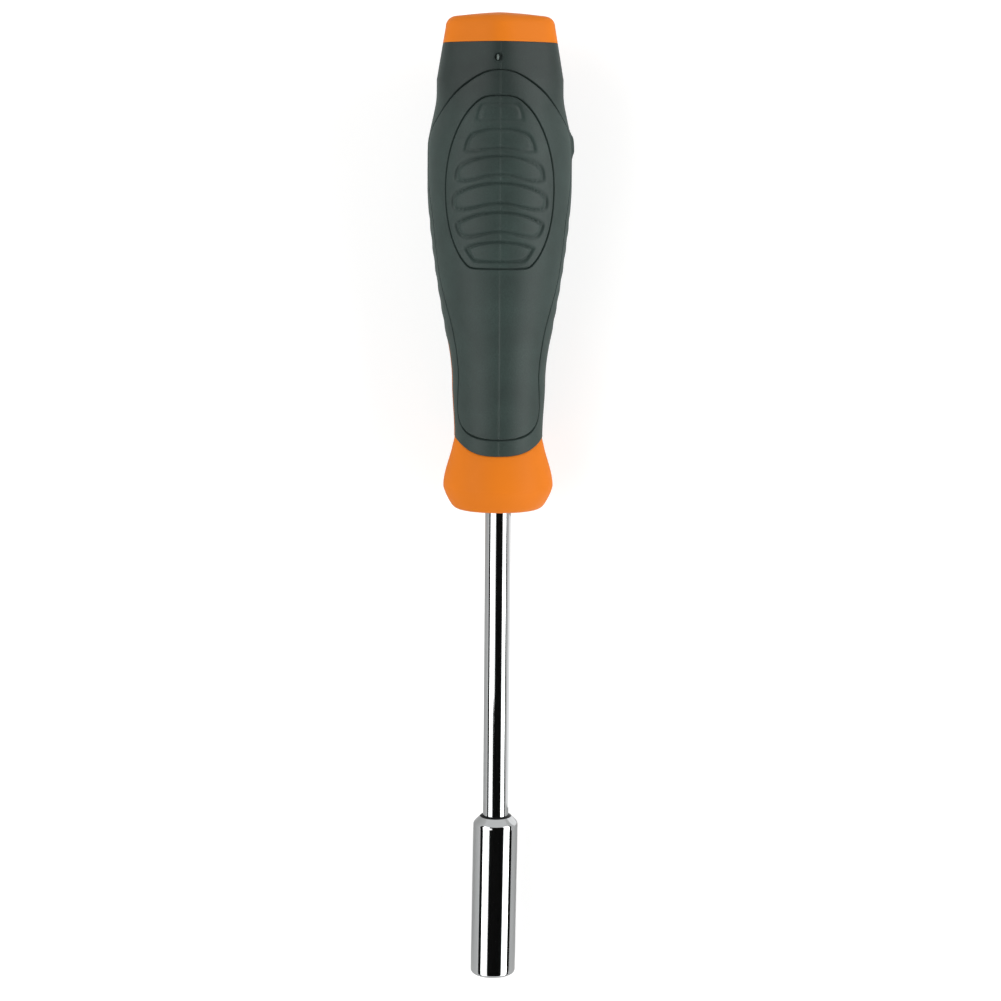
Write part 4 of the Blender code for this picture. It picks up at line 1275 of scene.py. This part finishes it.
class SCREWDRIVER_OT_studio(bpy.types.Operator):
    """Set the floor and its cards, three soft boxes under a black drape, the pale room and the camera"""

    bl_idname = "screwdriver.studio"
    bl_label = "Studio"

    def execute(self, context):
        studio = context.scene.screwdriver_studio
        self.floor(studio)
        self.drape(studio)
        for name, (corners, radiance) in CARDS.items():
            self.card(name, corners, radiance)
        self.room(context.scene, studio)
        long_box = studio.box_length, studio.box_step
        short_box = studio.top_length, studio.top_step
        left = -studio.left_inner, -studio.left_outer, studio.left_brightness
        right = studio.right_inner, studio.right_outer, studio.right_brightness
        top = -studio.top_inner, -studio.left_inner, studio.top_brightness
        self.soft_box("soft_box_left", *left, *long_box)
        self.soft_box("soft_box_right", *right, *long_box)
        self.soft_box("soft_box_top", *top, *short_box)
        self.camera(context.scene, studio)
        context.scene.view_settings.view_transform = "Standard"
        return {"FINISHED"}

    def stage_piece(self, name, points, quads, material):
        """Mesh object of the set, which isn't part of the tool."""
        mesh = bpy.data.meshes.new(name)
        mesh.from_pydata(points, [], quads)
        mesh.materials.append(material)
        piece = bpy.data.objects.new(name, mesh)
        bpy.context.collection.objects.link(piece)
        return piece

    def floor(self, studio):
        """Matt card, lifted to white where the camera looks at it and part of the way in shiny pieces."""
        material, _ = new_material("card_matt_coated")
        tree = material.node_tree
        card = add(tree, "ShaderNodeBsdfDiffuse", {"Color": tuple(studio.floor)})
        ray = add(tree, "ShaderNodeLightPath")
        direct = add(tree, "ShaderNodeMath", {
            0: ray.outputs["Is Camera Ray"], 1: ray.outputs["Is Transmission Ray"],
        }, operation="MAXIMUM")
        seen = add(tree, "ShaderNodeMath", {
            0: ray.outputs["Is Glossy Ray"], 1: studio.floor_mirror, 2: direct.outputs["Value"],
        }, operation="MULTIPLY_ADD")
        level = add(tree, "ShaderNodeMath", {
            0: seen.outputs["Value"], 1: studio.floor_glow,
        }, operation="MULTIPLY")
        glow = add(tree, "ShaderNodeEmission", {"Color": WHITE, "Strength": level.outputs["Value"]})
        lifted = add(tree, "ShaderNodeAddShader", {0: card.outputs["BSDF"], 1: glow.outputs["Emission"]})
        add(tree, "ShaderNodeOutputMaterial", {"Surface": lifted.outputs["Shader"]})
        corners = [(-1, -1), (1, -1), (1, 1), (-1, 1)]
        points = [(FLOOR_HALF * across, FLOOR_HALF * along, 0.0) for across, along in corners]
        self.stage_piece("floor", points, [(0, 1, 2, 3)], material)

    def drape(self, studio):
        """Half a cylinder of black cloth along the tool, which the chrome shows between the soft boxes."""
        material, _ = new_material("velvet_black_woven")
        tree = material.node_tree
        cloth = add(tree, "ShaderNodeBsdfDiffuse", {"Color": tuple(studio.velvet)})
        add(tree, "ShaderNodeOutputMaterial", {"Surface": cloth.outputs["BSDF"]})
        lean, along = np.meshgrid(
            np.linspace(-studio.drape_left, studio.drape_right, DRAPE_COLUMNS),
            np.array([-studio.drape_to_tip, studio.drape_to_butt]),
        )
        radius = studio.drape_radius
        points = np.stack([radius * np.sin(lean), along, radius * np.cos(lean)], axis=-1)
        quads = grid_quads(*lean.shape, False)
        drape = self.stage_piece("drape", points.reshape(-1, 3), quads.tolist(), material)
        drape.visible_camera = False

    def card(self, name, corners, radiance):
        """Card flat on the floor, given in millimetres, that nothing but the chrome shows."""
        material, _ = new_material(name)
        tree = material.node_tree
        glow = add(tree, "ShaderNodeEmission", {"Color": WHITE, "Strength": radiance})
        add(tree, "ShaderNodeOutputMaterial", {"Surface": glow.outputs["Emission"]})
        points = [(across * MM, along * MM, CARD_HEIGHT) for across, along in corners]
        card = self.stage_piece(name, points, [(0, 1, 2, 3)], material)
        card.visible_camera = False
        card.visible_diffuse = False
        card.visible_shadow = False

    def room(self, scene, studio):
        """Pale room, which lights the tool through the open ends of the drape."""
        world = bpy.data.worlds.new("studio_room")
        world.use_nodes = True
        tree = world.node_tree
        tree.nodes.clear()
        pale = add(tree, "ShaderNodeBackground", {"Color": WHITE, "Strength": studio.room})
        add(tree, "ShaderNodeOutputWorld", {"Surface": pale.outputs["Background"]})
        scene.world = world

    def soft_box(self, name, inner, outer, brightness, size, step):
        """Soft box along the tool, between two angles from straight up, in strips, brightest outside."""
        studio = bpy.context.scene.screwdriver_studio
        reach = studio.box_distance
        edges = np.linspace(inner, outer, BOX_STRIPS + 1).tolist()
        for part, (start, end) in enumerate(zip(edges, edges[1:])):
            lean = (start + end) / 2
            light = bpy.data.lights.new(name, "AREA")
            light.shape = "RECTANGLE"
            light.size = 2 * reach * abs(math.tan((end - start) / 2))
            light.size_y = size
            radiance = brightness * (1 + studio.box_slope * (part - BOX_STRIPS // 2))
            light.energy = radiance * math.pi * light.size * light.size_y
            strip = bpy.data.objects.new(name, light)
            strip.location = (reach * math.sin(lean), -step, reach * math.cos(lean))
            strip.rotation_euler = (0.0, lean, 0.0)
            strip.visible_camera = False
            bpy.context.collection.objects.link(strip)

    def camera(self, scene, studio):
        """Camera over one point of the axis, stepped to a side, tilted to the tip and turned a little."""
        side = studio.camera_side
        out = math.cos(side) * FRONT - math.sin(side) * RIGHT
        foot = on_bench(np.array(studio.camera_foot), np.array(0.0), np.array(0.0))
        view = math.sin(studio.camera_tilt) * ALONG - math.cos(studio.camera_tilt) * out
        up = -math.cos(studio.camera_tilt) * ALONG - math.sin(studio.camera_tilt) * out
        right = np.cross(view, up)
        place = foot + studio.camera_distance * out + studio.camera_shift * right
        roll = studio.camera_roll
        turned_up = math.cos(roll) * up - math.sin(roll) * right
        turned_right = np.cross(view, turned_up)
        data = bpy.data.cameras.new("camera")
        data.lens = studio.lens
        data.sensor_width = SENSOR_WIDTH
        data.sensor_fit = "HORIZONTAL"
        data.clip_start = CLIP_START
        camera = bpy.data.objects.new("camera", data)
        axes = np.stack([turned_right, turned_up, -view, place], axis=1)
        camera.matrix_world = Matrix([*axes.tolist(), [0.0, 0.0, 0.0, 1.0]])
        bpy.context.collection.objects.link(camera)
        scene.camera = camera


class SCREWDRIVER_PT_panel(bpy.types.Panel):
    """Lists the pieces and their sizes"""

    bl_idname = "SCREWDRIVER_PT_panel"
    bl_label = "Bit Holder Screwdriver"
    bl_space_type = "VIEW_3D"
    bl_region_type = "UI"
    bl_category = "Screwdriver"

    def draw(self, context):
        for operator in OPERATORS:
            self.layout.operator(operator.bl_idname)
        for group in GROUPS:
            settings = getattr(context.scene, group)
            box = self.layout.box()
            box.label(text=settings.__doc__ or group)
            for name in settings.__annotations__:
                box.prop(settings, name)


OPERATORS = (
    SCREWDRIVER_OT_butt_cap,
    SCREWDRIVER_OT_nose,
    SCREWDRIVER_OT_grip,
    SCREWDRIVER_OT_shaft,
    SCREWDRIVER_OT_bit_holder,
    SCREWDRIVER_OT_inner_core,
    SCREWDRIVER_OT_studio,
)
GROUPS = {
    "screwdriver_handle": HandleSizes,
    "screwdriver_grip": GripPattern,
    "screwdriver_steel": SteelSizes,
    "screwdriver_colours": FinishColours,
    "screwdriver_studio": StudioSettings,
}
CLASSES = (*GROUPS.values(), *OPERATORS, SCREWDRIVER_PT_panel)


def register():
    """Registers the classes and puts the settings on the scene."""
    for each in CLASSES:
        bpy.utils.register_class(each)
    for name, group in GROUPS.items():
        setattr(bpy.types.Scene, name, PointerProperty(type=group))


def unregister():
    """Takes the settings off the scene and unregisters the classes."""
    for name in GROUPS:
        delattr(bpy.types.Scene, name)
    for each in reversed(CLASSES):
        bpy.utils.unregister_class(each)


def main():
    """Registers the classes and makes every piece in order."""
    register()
    bpy.ops.screwdriver.butt_cap()
    bpy.ops.screwdriver.nose()
    bpy.ops.screwdriver.grip()
    bpy.ops.screwdriver.shaft()
    bpy.ops.screwdriver.bit_holder()
    bpy.ops.screwdriver.inner_core()
    bpy.ops.screwdriver.studio()


if __name__ == "__main__":
    main()
